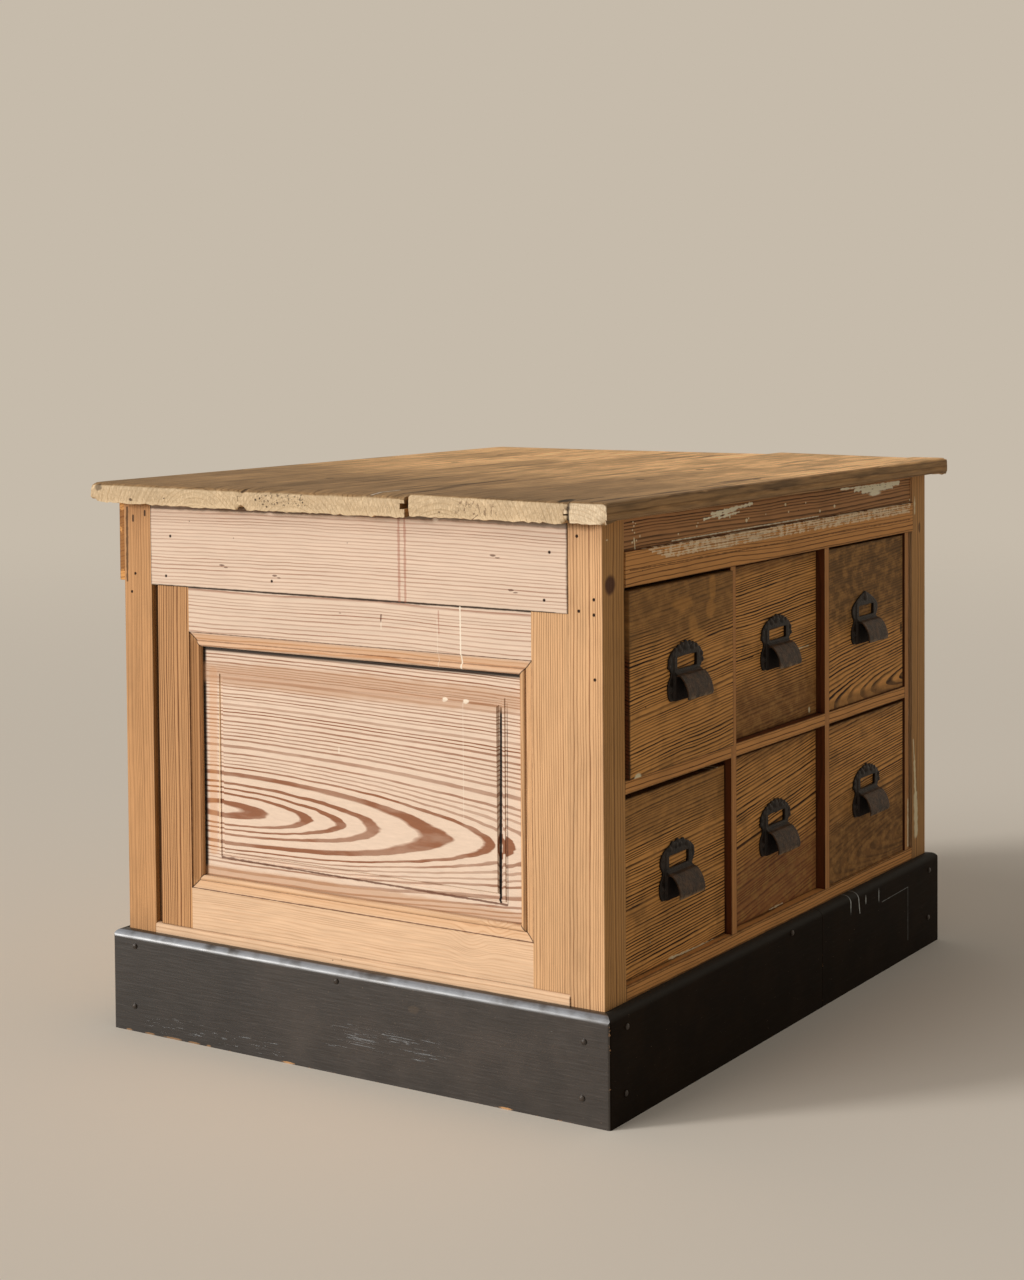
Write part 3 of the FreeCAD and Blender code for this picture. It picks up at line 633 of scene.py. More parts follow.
for end in ("left", "right"):
    near = end == "left"
    board(end + "_frieze", "end", "y", "pale", ring=0.0054, depth=0.03, side=-0.22,
          waver=0.0045, contrast=0.75, marks=shadow_under_frieze + (frieze_marks if near else []),
          **upper_look)
    board(end + "_rail_top", "end", "y", "pale", ring=0.0068, depth=0.05, side=-0.1,
          waver=0.005, contrast=0.85, crowding=1.0,
          marks=moulding_top + bead_shade_lines + mitres[2:] + shadow_under_frieze
          + (rail_marks if near else []), **upper_look)
    board(end + "_rail_bottom", "end", "y", "strip", ring=0.0042, depth=0.05, side=-0.12,
          contrast=0.45, dark_share=0.45, waver=0.004, blotch=0.0, patch=0.3, wear=0.6,
          marks=moulding_foot + bead_shade_lines + mitres[:2],
          swirls=[((-end_x, -0.2129, 0.219), 0.045, 0.012),
                  ((-end_x, -0.2591, 0.2468), 0.03, 0.01)])
    board(end + "_bottom_strip", "end", "y", "strip", ring=0.0045, depth=0.05, side=-0.1,
          contrast=0.5, dark_share=0.4, blotch=0.0, patch=0.25)
    # The edge darkening round the panel's visible box is painted shade with grime where it meets
    # the moulding
    board(end + "_panel", "end", "y", "panel", ring=0.0118, depth=0.0372, side=0.0, dive=-0.125,
          waver=0.0062, centre=(-end_x, 0, 0.365), dark_share=0.43, sharp=5.0, pointed=0.03,
          contrast=1.2, crowding=3.2, blotch=0.0, fibre=0.18, edge=0.6, edge_reach=0.004,
          patch=0.1, box=(Vector((-0.6, front_y, low_z)), Vector((0.6, back_y, high_z))),
          marks=panel_shade + (panel_marks if near else []))
    board(end + "_stile_front", "end", "z", "tan", ring=0.0036, contrast=0.8, edge=0.25,
          marks=bead_shade_lines + mitres, **stile_look)
    board(end + "_stile_back", "end", "z", "shade", ring=0.0042, edge=0.6,
          marks=bead_shade_lines + mitres + recess_shade, **stile_look)

post_marks = [end_nail(y, z) for y, z in
              ((-0.395, 0.81), (-0.3975, 0.707), (-0.4215, 0.724), (-0.4215, 0.703),
               (-0.4225, 0.614), (0.4097, 0.7174), (0.4172, 0.6887))]
post_marks += [end_line(0.4132, 0.8076, 0.4134, 0.7998, 0.0026, 0.0, nail_dark, 0.9),
               end_line(0.389, 0.8158, 0.3891, 0.8094, 0.0026, 0.0, nail_dark, 0.9),
               end_line(0.4252, 0.82, 0.427, 0.7056, 0.0036, 0.3, shadow_brown, 0.75)]
cream = linear(232, 218, 180)
light_cream = linear(246, 238, 208)
post_knot = linear(76, 46, 36)
post_stain = linear(70, 48, 36)
near_face = [side_patch(-0.5416, 0.7431, 0.0175, 0.0165, post_knot, 0.9, 0.25),
             side_patch(-0.549, 0.8054, 0.003, 0.0014, cream, 0.9)]
far_face = [side_line(0.5088, 0.3667, 0.5137, 0.3269, 0.0032, 0.3, cream, 0.9),
            side_line(0.5137, 0.3269, 0.5185, 0.2668, 0.0062, 0.25, cream, 0.95),
            side_line(0.5185, 0.2668, 0.521, 0.199, 0.0115, 0.2, cream, 0.95),
            side_line(0.515, 0.7948, 0.5149, 0.7655, 0.0036, 0.6, cream, 0.8),
            side_patch(0.536, 0.7395, 0.006, 0.012, post_stain, 0.7)]
for corner, tone, contrast in (("front", "tan", 0.8), ("back", "shade", 0.5)):
    for end in ("left", "right"):
        faced = {"front_left": near_face, "front_right": far_face}.get(corner + "_" + end, [])
        board("post_" + corner + "_" + end, "end", "z", tone, ring=0.0034, depth=0.13, side=0.13,
              other=("y", "olive"), blotch=0.12, dark_share=0.45, contrast=contrast, patch=0.5,
              edge=0.25, relief=0.0005, flecks=0.03 if end == "right" else 0.0,
              marks=post_marks if end == "left" else (), more={"side": faced})

# Drawer side
cream_specks = [side_patch(x, z, half, half * 0.8, cream, 0.95, 0.7) for x, z, half in
                ((-0.472, 0.824, 0.002), (-0.4695, 0.8185, 0.0024), (-0.465, 0.8215, 0.0018),
                 (-0.4735, 0.813, 0.0022), (-0.468, 0.809, 0.002), (-0.4745, 0.796, 0.0024),
                 (-0.4625, 0.7975, 0.002), (-0.341, 0.797, 0.0022), (-0.285, 0.804, 0.0026),
                 (-0.281, 0.8085, 0.0018), (-0.18, 0.81, 0.0028), (-0.118, 0.8035, 0.0024),
                 (0.02, 0.8035, 0.0028), (0.135, 0.7965, 0.0034), (0.19, 0.8005, 0.004),
                 (0.082, 0.8135, 0.0022), (0.5, 0.79, 0.003), (-0.06, 0.8055, 0.0016))]
fascia_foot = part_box("fascia_board")[0].z + 0.0032
board("fascia_board", "side", "x", "rust", ring=0.0052, depth=0.02, side=-0.06, waver=0.004,
      dark_share=0.5, edge=0.7, edge_reach=0.004, flecks=0.16,
      marks=[side_line(-0.262, 0.8125, -0.160, 0.8195, 0.003, 0.5, light_cream, 1.0),
             side_line(-0.240, 0.8185, -0.106, 0.8250, 0.0038, 0.5, light_cream, 1.0),
             side_line(-0.215, 0.8110, -0.150, 0.8155, 0.003, 0.5, light_cream, 0.95),
             side_line(0.215, 0.8262, 0.455, 0.8245, 0.0026, 0.4, light_cream, 1.0),
             side_line(0.27, 0.8215, 0.452, 0.8215, 0.0046, 0.35, light_cream, 1.0),
             side_line(0.30, 0.8165, 0.425, 0.8175, 0.0044, 0.35, light_cream, 1.0),
             side_patch(0.352, 0.8115, 0.03, 0.0055, light_cream, 1.0, 0.5),
             side_patch(0.0088, 0.8157, 0.004, 0.003, cream, 0.9),
             side_patch(-0.1251, 0.8008, 0.0045, 0.0035, cream, 0.9),
             side_line(-0.4692, 0.8015, -0.467, 0.787, 0.0028, 0.5, cream, 0.95),
             side_patch(-0.4527, 0.803, 0.002, 0.0025, cream, 0.9),
             side_line(-0.36, fascia_foot, 0.13, fascia_foot, 0.0013, 0.5, light_cream, 0.9)]
            + cream_specks)

# Worn white paint in long streaks along the rail
old_white = linear(250, 230, 194)
rail_paint = [("paint", (x, 0, z), (half, 1, 0.022), 0.74, (12, 1, 640), old_white, 0.6, seed)
              for x, z, half, seed in ((-0.17, 0.777, 0.34, 4.0), (0.27, 0.782, 0.4, 8.0))]
rail_paint.append(side_line(-0.49, 0.7585, 0.49, 0.7570, 0.0016, 0.5, shadow_brown, 0.6))
for count, z in enumerate((0.7975, 0.7942, 0.7905, 0.7872, 0.7838, 0.7800, 0.7768, 0.7730, 0.7695)):
    rail_paint.append(side_line(-0.49 + 0.013 * count, z - 0.001, 0.49, z + 0.0012,
                                0.0016 + 0.0005 * (count % 3), 0.85, old_white,
                                0.62 + 0.1 * (count % 2)))
board("top_drawer_rail", "side", "x", "dark", ring=0.006, depth=0.03, side=-0.1, waver=0.004,
      edge=0.7, edge_reach=0.003, flecks=0.06, other=("z", "reveal_shade"), marks=rail_paint)
board("bottom_rail", "side", "x", "dark", ring=0.005, depth=0.03, side=-0.1, edge=0.8,
      edge_reach=0.004)
board("mid_rails", "side", "x", "dark", ring=0.005, depth=0.03, side=-0.1, other=("z", "reveal_shade"),
      edge=0.7, edge_reach=0.003)
slat_drip = side_line(0.4843, 0.2655, 0.4842, 0.1837, 0.004, 0.35, cream, 0.85)
for name in ("left_partition", "divider_1", "divider_2", "right_partition"):
    board(name, "side", "z", "slat", ring=0.004, depth=0.03, side=0.1, other=("x", "reveal_shade"),
          flecks=0.1, marks=[slat_drip] if name == "right_partition" else ())

# Each front: ring width, depth and side of the heart, lean, dive, waver
front_grain = [(0.0046, 0.06, -0.30, -0.06, 0.0, 0.006), (0.0042, 0.07, -0.26, -0.05, 0.0, 0.004),
               (0.0048, 0.03, -0.12, -0.05, 0.10, 0.005), (0.0046, 0.05, -0.24, -0.04, 0.0, 0.004),
               (0.0054, 0.04, -0.16, -0.12, 0.05, 0.004), (0.005, 0.03, -0.10, -0.05, 0.10, 0.005)]
# Grimy bands of each front: share of the height, half height, tint, amount
olive_dirt = linear(124, 90, 52)
dark_dirt = linear(116, 78, 42)
red_dirt = linear(130, 82, 50)
shade_dirt = linear(98, 72, 42)
foot_dirt = linear(106, 74, 40)
pale_dirt = linear(158, 116, 66)
gold = linear(206, 148, 78)
front_bands = {1: [(0.97, 0.09, olive_dirt, 0.75)],
               2: [(0.0, 0.1, dark_dirt, 0.75), (1.02, 0.022, dark_dirt, 0.6)],
               3: [(1.0, 0.17, shade_dirt, 0.85), (0.0, 0.02, dark_dirt, 0.6)],
               4: [(1.0, 0.085, olive_dirt, 0.6)],
               5: [(0.0, 0.135, red_dirt, 0.75), (1.0, 0.02, dark_dirt, 0.5)],
               6: [(0.0, 0.165, foot_dirt, 0.85), (1.0, 0.02, dark_dirt, 0.5)]}
front_specks = {
    1: [side_patch(x, z, half_x, half_z, gold, 0.4, 1.0) for x, z, half_x, half_z in
        ((-0.348, 0.697, 0.034, 0.014), (-0.253, 0.713, 0.014, 0.024), (-0.26, 0.681, 0.02, 0.016),
         (-0.3146, 0.661, 0.018, 0.022), (-0.2945, 0.646, 0.022, 0.012))]
       + [side_patch(-0.4775, 0.4665, 0.012, 0.0085, cream, 0.95, 0.4)],
    2: [side_line(-0.1652, 0.5857, -0.0839, 0.5873, 0.0018, 0.3, shadow_brown, 0.9),
        side_line(0.0764, 0.5798, 0.1132, 0.5806, 0.0016, 0.5, cream, 0.8),
        side_patch(0.1152, 0.476, 0.004, 0.006, cream, 0.9, 0.4)],
    3: [side_patch(0.4604, 0.5696, 0.006, 0.012, shadow_brown, 0.8)],
    4: [side_line(-0.3623, 0.1829, -0.2149, 0.178, 0.0032, 0.5, cream, 0.95),
        side_line(-0.2446, 0.4392, -0.2072, 0.4373, 0.0026, 0.5, cream, 0.9)],
    5: [side_line(-0.029, 0.181, 0.0181, 0.1815, 0.0026, 0.6, cream, 0.9)]}
for number, (ring, depth, side, lean, dive, waver) in enumerate(front_grain, 1):
    name = "drawer_%d_front" % number
    low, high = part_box(name)
    bands = []
    for up, half_z, tint, amount in front_bands[number]:
        point = ((low.x + high.x) / 2, 0, low.z + (high.z - low.z) * up)
        bands.append(("mud", point, (0.5, 1, half_z), tint, pale_dirt, amount))
    board(name, "side", "x", "front", ring=ring, depth=depth, side=side, lean=lean, dive=dive,
          waver=waver, blotch=0.4, blotch_size=0.05, relief=0.0006, dark_share=0.52, patch=0.6,
          contrast=1.5, edge=0.85, edge_reach=0.005, flecks=0.02, fibre=0.45, wear=0.45,
          other=("zx", "reveal_shade"), marks=bands + front_specks.get(number, []))
    board("drawer_%d_box" % number, "top", "y", "inner")

# Boards that are mostly hidden
apron_brown = linear(120, 74, 36)
board("floor_board", "top", "x", "inner")
board("drawer_runners", "top", "y", "inner")
board("back_boards", "side", "z", "inner")
board("back_apron", "side", "x", "inner", ends="orange",
      more={"end": [end_paint(0.44, 0.765, 0.03, 0.09, 1.1, 70, 40, apron_brown, 0.7),
                    end_line(0.4345, 0.828, 0.4345, 0.70, 0.0022, 0.4, shadow_brown, 0.7)]})
board("top_battens", "top", "y", "inner")


# Plank top
wash_grey = linear(128, 100, 68)
streak_dark = linear(66, 48, 34)
near_light, far_light = 0.63, 2.05


def make_weather():
    """Grey wash and dark streaks drawn out along X, as on a scrubbed top."""
    r, take, give = new_group("weather", [
        ("Color", "colour", None), ("Place", "place", None), ("Wash", "value", 0.5),
        ("Streaks", "value", 0.5), ("Seed", "value", 0.0)], [("Color", "colour")])
    place = take["Place"]
    wash = r.noise(r.stretch(place, 3.0, 9.0), take["Seed"], 4.0, 0.62)
    wash = r.times(r.fade(wash, 0.40, 0.66), take["Wash"])
    colour = r.mix(wash, take["Color"], wash_grey)
    streak = r.noise(r.stretch(place, 5.0, 60.0), r.plus(take["Seed"], 9.0), 3.0, 0.6)
    streak = r.times(r.fade(streak, 0.50, 0.68), take["Streaks"])
    cloud = r.noise(r.stretch(place, 2.5, 6.0), r.plus(take["Seed"], 5.0), 2.0)
    streak = r.times(streak, r.fade(cloud, 0.35, 0.65))
    colour = r.mix(streak, colour, streak_dark)
    fine = r.noise(r.stretch(place, 16.0, 210.0), r.plus(take["Seed"], 3.0), 3.0, 0.6)
    fine = r.times_plus(r.minus(fine, 0.5), 1.7, 1.04)
    r.feed(give["Color"], r.mix(1.0, colour, r.grey(fine), "MULTIPLY"))
    return r.tree


weather = make_weather()


def scrubbed(r, place, colour, seed):
    """Weathered upper face, more worn and paler toward the far end; end grain stays as it is."""
    worn = r.use(weather, {"Color": colour, "Place": place, "Wash": 0.72, "Streaks": 1.0,
                           "Seed": seed}).outputs[0]
    along = r.parts(place)[0]
    pale = r.fade(along, -0.62, 0.45, near_light, far_light)
    facing = r.node("ShaderNodeTexCoord").outputs["Normal"]
    parts = r.parts(facing)
    upward = r.fade(parts[2], 0.3, 0.8)
    endward = r.fade(r.math("ABSOLUTE", parts[0]), 0.5, 0.8)
    worn = r.mix(upward, worn, r.mix(1.0, worn, r.grey(pale), "MULTIPLY"))
    return r.mix(endward, worn, colour)


end_face_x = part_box("top_plank_middle")[0].x
back_joint, front_joint, top_back = 0.1675, -0.4018, 0.4685
tar_black = linear(22, 14, 10)
chalk = linear(232, 220, 204)
joint_red = linear(90, 40, 24)
joint_tan = linear(90, 50, 28)
end_straw = linear(164, 134, 98)
dark_spots = [(-0.3159, 0.4747), (-0.2474, 0.4563), (-0.4698, 0.2292), (-0.3459, 0.1916),
              (0.1022, 0.2567), (0.3239, 0.3064), (-0.1695, -0.272), (-0.0693, -0.4221),
              (0.0897, -0.2379)]
# Dark spots on the upper face, a chalk stroke, and open joints at the left end
top_marks = [("patch", (x, y, 0), (0.014, 0.007, 1), shadow_brown, 0.8) for x, y in dark_spots]
top_marks += [("line", (-0.5855, -0.0663, 0), (-0.517, -0.0667, 0), 0.0035, 0.3, chalk, 0.85),
              ("patch", (-0.5724, -0.3863, 0), (0.024, 0.011, 1), tar_black, 0.95),
              ("line", (end_face_x, front_joint, 0), (-0.50, front_joint, 0), 0.004, 0.4,
               tar_black, 0.9)]
for y, foot, width, broken, tint in ((front_joint, 0.836, 0.0012, 0.3, joint_red),
                                     (front_joint, 0.852, 0.006, 0.6, shadow_brown),
                                     (back_joint, 0.834, 0.0011, 0.3, joint_tan)):
    top_marks.append(("line", (end_face_x, y, foot), (end_face_x, y, 0.860), width, broken,
                      {"through": True, "tint": tint}))
end_spots = [end_patch(y, z, half, half * 0.8, nail_dark, 0.85, 0.8) for y, z, half in
             ((0.1401, 0.8441, 0.003), (0.1193, 0.8346, 0.0025), (0.126, 0.8375, 0.002),
              (0.132, 0.8462, 0.002), (0.1, 0.841, 0.002), (0.0518, 0.8431, 0.002),
              (0.3866, 0.8357, 0.004), (0.319, 0.8401, 0.002), (0.1715, 0.829, 0.005),
              (back_joint, 0.856, 0.005), (-0.19, 0.838, 0.002))]
end_spots += [end_paint(0, 0.848, 1.2, 0.03, 0.8, 420, 120, end_straw, 0.28),
              end_paint(0.09, 0.846, 0.1, 0.02, 0.62, 260, 200, nail_dark, 0.6, 5.0),
              end_paint(-0.25, 0.846, 0.08, 0.02, 0.62, 200, 90, knot_brown, 0.5, 7.0),
              end_line(-0.2549, 0.8364, -0.243, 0.828, 0.0012, 0.4, knot_brown, 0.7),
              end_patch(0.452, 0.853, 0.01, 0.006, shadow_brown, 0.6, 0.9)]
for name, heart in (("top_nosing", 0.02), ("top_plank_front", 0.07), ("top_plank_middle", 0.05),
                    ("top_plank_back", -0.06)):
    board(name, "top", "x", "top", ring=0.0068, depth=0.085, side=heart, blotch=0.14,
          blotch_size=0.12, contrast=0.8, patch=0.4, holes=0.03, finish=scrubbed,
          ends="end_pale" if name == "top_nosing" else "end", other=("y", "nose"),
          marks=top_marks, more={"end": end_spots})


# Pulls, drawn about the middle of the plate's lower edge: X across, Z up, the room at -Y
pull_half_width = 0.054
pull_height = 0.084
plate_thickness = 0.003
window_size = (0.059, 0.018)
window_middle = 0.054
hood_half = 0.038
hood_top = 0.041
hood_bottom = 0.003
hood_out = 0.027
boss_out = 0.007
# Outlines give (height, half width); scallops and curls (to one side, height, radius)
plate_outline = ((0.0, 0.046), (0.003, 0.0495), (0.009, 0.0525), (0.019, 0.054), (0.028, 0.0515),
                 (0.035, 0.0455), (0.040, 0.0435), (0.045, 0.0475), (0.052, 0.0515),
                 (0.059, 0.051), (0.065, 0.0475), (0.070, 0.042), (0.075, 0.031),
                 (0.079, 0.018), (0.082, 0.003))
plain_outline = plate_outline[:9] + ((0.060, 0.0505), (0.066, 0.0445), (0.072, 0.034),
                                     (0.077, 0.0235), (0.081, 0.014), (0.084, 0.004))
scallops = ((0.0, 0.0795, 0.0045), (0.0115, 0.0785, 0.0042), (0.0215, 0.0762, 0.0042),
            (0.0315, 0.0722, 0.0043), (0.0405, 0.0662, 0.0043), (0.0478, 0.0590, 0.0045),
            (0.0498, 0.0500, 0.0040))
curls = ((0.0, 0.0785, 0.0055), (0.015, 0.0755, 0.007), (0.031, 0.0700, 0.0055),
         (0.0445, 0.0610, 0.0055))


# Cast iron and painted plinth
def make_iron():
    """Old cast iron, brown-black and rubbed on the hood's lip; the hood's face has painted light,
    and inside it painted shade with rust.

    Foot is the place of the pull's lower edge, from which the hood is found.
    """
    r, take, give = new_group("old iron", [
        ("Place", "place", None), ("Foot", "place", None), ("Seed", "value", 0.0)],
        [("Color", "colour"), ("Roughness", "value"), ("Height", "value")])
    coarse = r.noise(r.stretch(take["Place"], 90.0, 90.0), take["Seed"], 4.0, 0.65)
    fine = r.noise(r.stretch(take["Place"], 420.0, 420.0), take["Seed"], 3.0, 0.6)
    out = r.vector("SUBTRACT", take["Foot"], take["Place"])
    parts = r.parts(out)
    up = r.times(parts[2], -1.0)
    # Painted light: the hood's raised face lighter than the plate behind it
    raised = r.fade(parts[1], 0.0065, 0.012)
    plate_shade_tone = r.mix(r.fade(coarse, 0.36, 0.66), linear(22, 16, 12), linear(42, 30, 22))
    hood_lit_tone = r.mix(r.fade(coarse, 0.36, 0.66), linear(50, 38, 28), linear(88, 64, 44))
    colour = r.mix(raised, plate_shade_tone, hood_lit_tone)
    colour = r.mix(r.times(r.fade(fine, 0.5, 0.72), 0.7), colour, linear(24, 17, 13))
    worn = r.times(r.fade(up, 0.010, 0.003), r.fade(parts[1], 0.020, 0.025))
    worn = r.times(worn, r.fade(coarse, 0.4, 0.6))
    colour = r.mix(worn, colour, linear(132, 112, 88))
    # Painted shade, with some rust, inside the hood
    tall = r.math("DIVIDE", r.minus(up, hood_bottom), hood_top - hood_bottom - 0.003)
    deep = r.math("DIVIDE", parts[1], hood_out - 0.003)
    round_in = r.plus(r.times(tall, tall), r.times(deep, deep))
    inside = r.times(r.fade(round_in, 1.0, 0.93), r.fade(up, hood_top, hood_top - 0.002))
    sideways = r.math("ABSOLUTE", parts[0])
    inside = r.times(inside, r.fade(sideways, hood_half, hood_half - 0.0012))
    inside = r.times(inside, r.fade(parts[1], 0.0035, 0.0045))
    r.feed(give["Color"], r.mix(inside, colour, linear(20, 9, 5)))
    rough = r.times_plus(fine, 0.35, 0.32)
    r.feed(give["Roughness"], r.times_plus(inside, 0.4, rough))
    r.feed(give["Height"], r.times_plus(fine, 0.5, coarse))
    return r.tree


def make_paint():
    """Dark paint brushed along a board, chipped to the wood at the edges."""
    r, take, give = new_group("plinth paint", [
        ("Place", "place", None), ("Edge", "value", 0.01), ("Along", "place", (1, 0, 0)),
        ("Chips", "value", 0.3), ("Seed", "value", 0.0),
        ("Paint", "colour", (0.02, 0.018, 0.016, 1))],
        [("Color", "colour"), ("Roughness", "value"), ("Height", "value")])
    place = take["Place"]
    squash = r.times(r.vector("DOT_PRODUCT", place, take["Along"]), 0.94)
    drawn = r.vector("SUBTRACT", place, r.scale(take["Along"], squash))
    brush = r.noise(r.stretch(drawn, 330.0, 330.0), take["Seed"], 3.0, 0.6)
    cloud = r.noise(r.stretch(place, 16.0, 16.0), take["Seed"], 3.0, 0.55)
    paler = r.vector("MULTIPLY", take["Paint"], (1.7, 1.7, 1.7))
    colour = r.mix(r.fade(cloud, 0.35, 0.7), take["Paint"], paler)
    paler = r.vector("MULTIPLY", take["Paint"], (2.6, 2.6, 2.6))
    colour = r.mix(r.times(r.fade(brush, 0.55, 0.75), 0.5), colour, paler)
    speck = r.noise(r.stretch(place, 500.0, 500.0), take["Seed"], 1.0)
    colour = r.mix(r.times(r.fade(speck, 0.76, 0.8), 0.7), colour, linear(150, 134, 112))
    bite = r.noise(r.stretch(place, 75.0, 75.0), r.plus(take["Seed"], 3.0), 4.0, 0.7)
    limit = r.times_plus(take["Edge"], 45.0, r.minus(0.86, take["Chips"]))
    chip = r.fade(bite, limit, r.plus(limit, 0.03))
    r.feed(give["Color"], r.mix(chip, colour, linear(150, 112, 76)))
    rough = r.times_plus(brush, 0.2, 0.24)
    r.feed(give["Roughness"], r.times_plus(chip, 0.4, rough))
    r.feed(give["Height"], r.times_plus(chip, -1.0, r.times(brush, 0.5)))
    return r.tree


iron = make_iron()
paint_coat = make_paint()
gloss_white = linear(206, 210, 208)
bare_wood = linear(186, 140, 92)
scuff_white = linear(190, 196, 198)
scuff_grey = linear(122, 126, 130)
end_black = linear(16, 11, 8)
dried_mud = linear(104, 84, 62)
front_coat, end_coat = linear(20, 12, 5), linear(40, 34, 30)
ledge_sheen_grey = linear(58, 56, 52)
reflection_blue = linear(168, 176, 188)
front_shine, end_shine = 0.06, 0.62
foot_chips = [end_patch(y, 0.0014, half, 0.0018, bare_wood, 0.95, 0.8) for y, half in
              ((0.4197, 0.008), (0.377, 0.012), (0.329, 0.022), (0.2873, 0.014), (0.2579, 0.006),
               (0.1039, 0.014), (-0.2834, 0.014))]
foot_chips += [end_patch(0.42, 0.08, 0.34, 0.4, end_black, 0.5, 0.2),
               end_paint(-0.367, 0.112, 0.045, 0.04, 0.3, 190, 300, scuff_white, 0.9),
               end_paint(-0.148, 0.042, 0.05, 0.016, 0.3, 150, 330, scuff_white, 0.8, 3.0),
               end_paint(0.216, 0.073, 0.045, 0.01, 0.3, 120, 330, scuff_white, 0.7, 6.0),
               end_paint(-0.08, 0.06, 0.22, 0.04, 0.55, 16, 300, scuff_grey, 0.5, 9.0),
               end_paint(0.25, 0.02, 0.3, 0.03, 0.5, 30, 260, scuff_grey, 0.5, 12.0),
               end_patch(-0.127, 0.117, 0.012, 0.008, dried_mud, 0.2, 1.2)]
plinth_marks = [side_patch(0.206, 0.1475, 0.0017, 0.024, gloss_white, 0.9),
                side_line(0.2337, 0.164, 0.2416, 0.121, 0.002, 0.4, gloss_white, 0.95),
                side_patch(0.2658, 0.1375, 0.0017, 0.009, gloss_white, 0.9),
                side_patch(0.319, 0.134, 0.0014, 0.014, gloss_white, 0.85),
                side_line(0.3315, 0.1199, 0.4423, 0.1222, 0.001, 0.4, gloss_white, 0.3),
                side_line(0.4423, 0.1222, 0.4422, 0.0295, 0.001, 0.4, gloss_white, 0.3)]
for name in nodes:
    if name.startswith("plinth"):
        low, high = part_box(name)
        long_x = high.x - low.x > high.y - low.y
        material, r, place = start_material(name + "_paint")
        edge = r.use(age, {"Color": (1, 1, 1, 1), "Place": place, "Low": low,
                           "High": high}).outputs["Edge"]
        coat = r.use(paint_coat, {"Place": place, "Edge": edge,
                                  "Along": axes["x"] if long_x else axes["y"], "Chips": 0.3,
                                  "Seed": low.x * 7,
                                  "Paint": front_coat if long_x else end_coat}).outputs
        marked = Marks(r, place, flat_on["side" if long_x else "end"], coat["Color"],
                       coat["Height"])
        marked.add({"plinth_front_right": plinth_marks, "plinth_left": foot_chips}.get(name, []))
        rough = coat["Roughness"]
        facing = r.node("ShaderNodeTexCoord").outputs["Normal"]
        upward = r.parts(facing)[2]
        if long_x:
            # Painted sheen: the upward faces of the drawer-side plinth lighter grey
            marked.tint(r.fade(upward, 0.1, 0.8), 0.7, ledge_sheen_grey)
            rough = r.plus(rough, 0.25)
        else:
            rough = r.plus(rough, 0.02)
            # Painted reflection: a broken blue-white band on the rounded top edge
            rounding = r.times(r.fade(upward, 0.1, 0.35), r.fade(upward, 0.98, 0.85))
            rubbed = r.fade(r.noise(r.stretch(place, 20.0, 20.0), low.x, 3.0, 0.6), 0.28, 0.56)
            marked.tint(r.times(rounding, rubbed), 0.5, reflection_blue)
        finish_material(r, marked.colour, rough, marked.height, 0.0004,
                        front_shine if long_x else end_shine)
        give(name, material)


# Making of pieces
def only(piece):
    bpy.ops.object.select_all(action="DESELECT")
    piece.select_set(True)
    bpy.context.view_layer.objects.active = piece


def start_piece(name, size=(1, 1, 1)):
    """The primitive just added, with its place and turn in its mesh, sized and open for editing."""
    piece = bpy.context.object
    piece.name = name
    only(piece)
    middle = tuple(piece.location)
    bpy.ops.object.transform_apply(location=True, rotation=True, scale=True)
    bpy.ops.object.mode_set(mode="EDIT")
    bpy.ops.mesh.select_all(action="SELECT")
    bpy.ops.transform.resize(value=size, center_override=middle)
    return piece


def pick(piece, kind, test):
    """Select what passes a test on its middle, and for faces also on their normal."""
    bpy.ops.object.mode_set(mode="EDIT")
    bpy.ops.mesh.select_mode(type=kind)
    bpy.ops.mesh.select_all(action="DESELECT")
    bpy.ops.object.mode_set(mode="OBJECT")
    mesh = piece.data
    if kind == "VERT":
        for vertex in mesh.vertices:
            vertex.select = test(vertex.co)
    elif kind == "EDGE":
        for edge in mesh.edges:
            a, b = (mesh.vertices[i].co for i in edge.vertices)
            edge.select = test((a + b) / 2)
    else:
        for face in mesh.polygons:
            face.select = test(face.center, face.normal)
    bpy.ops.object.mode_set(mode="EDIT")


def close_piece():
    bpy.ops.mesh.select_all(action="SELECT")
    bpy.ops.mesh.remove_doubles(threshold=0.00001)
    bpy.ops.mesh.normals_make_consistent(inside=False)
    bpy.ops.object.mode_set(mode="OBJECT")


def put_modifier(piece, kind, **settings):
    only(piece)
    modifier = piece.modifiers.new(kind.lower(), kind)
    for name, value in settings.items():
        setattr(modifier, name, value)
    bpy.ops.object.modifier_apply(modifier=modifier.name)


def join(pieces):
    bpy.ops.object.select_all(action="DESELECT")
    for piece in pieces:
        piece.select_set(True)
    bpy.context.view_layer.objects.active = pieces[0]
    bpy.ops.object.join()
    return pieces[0]


def copy_to(piece, name, shift):
    only(piece)
    bpy.ops.object.duplicate(linked=False)
    made = bpy.context.object
    made.name = name
    bpy.ops.transform.translate(value=shift)
    bpy.ops.object.transform_apply(location=True, rotation=False, scale=False)
    return made


def width_at(outline, height):
    """Half width of the plate at a height, with softened corners between the outline's points."""
    for (z0, w0), (z1, w1) in zip(outline, outline[1:]):
        if height <= z1 + 1e-6:
            share = (height - z0) / (z1 - z0)
            share = share * share * (3 - 2 * share) * 0.35 + share * 0.65
            return w0 + (w1 - w0) * share
    return outline[-1][1]


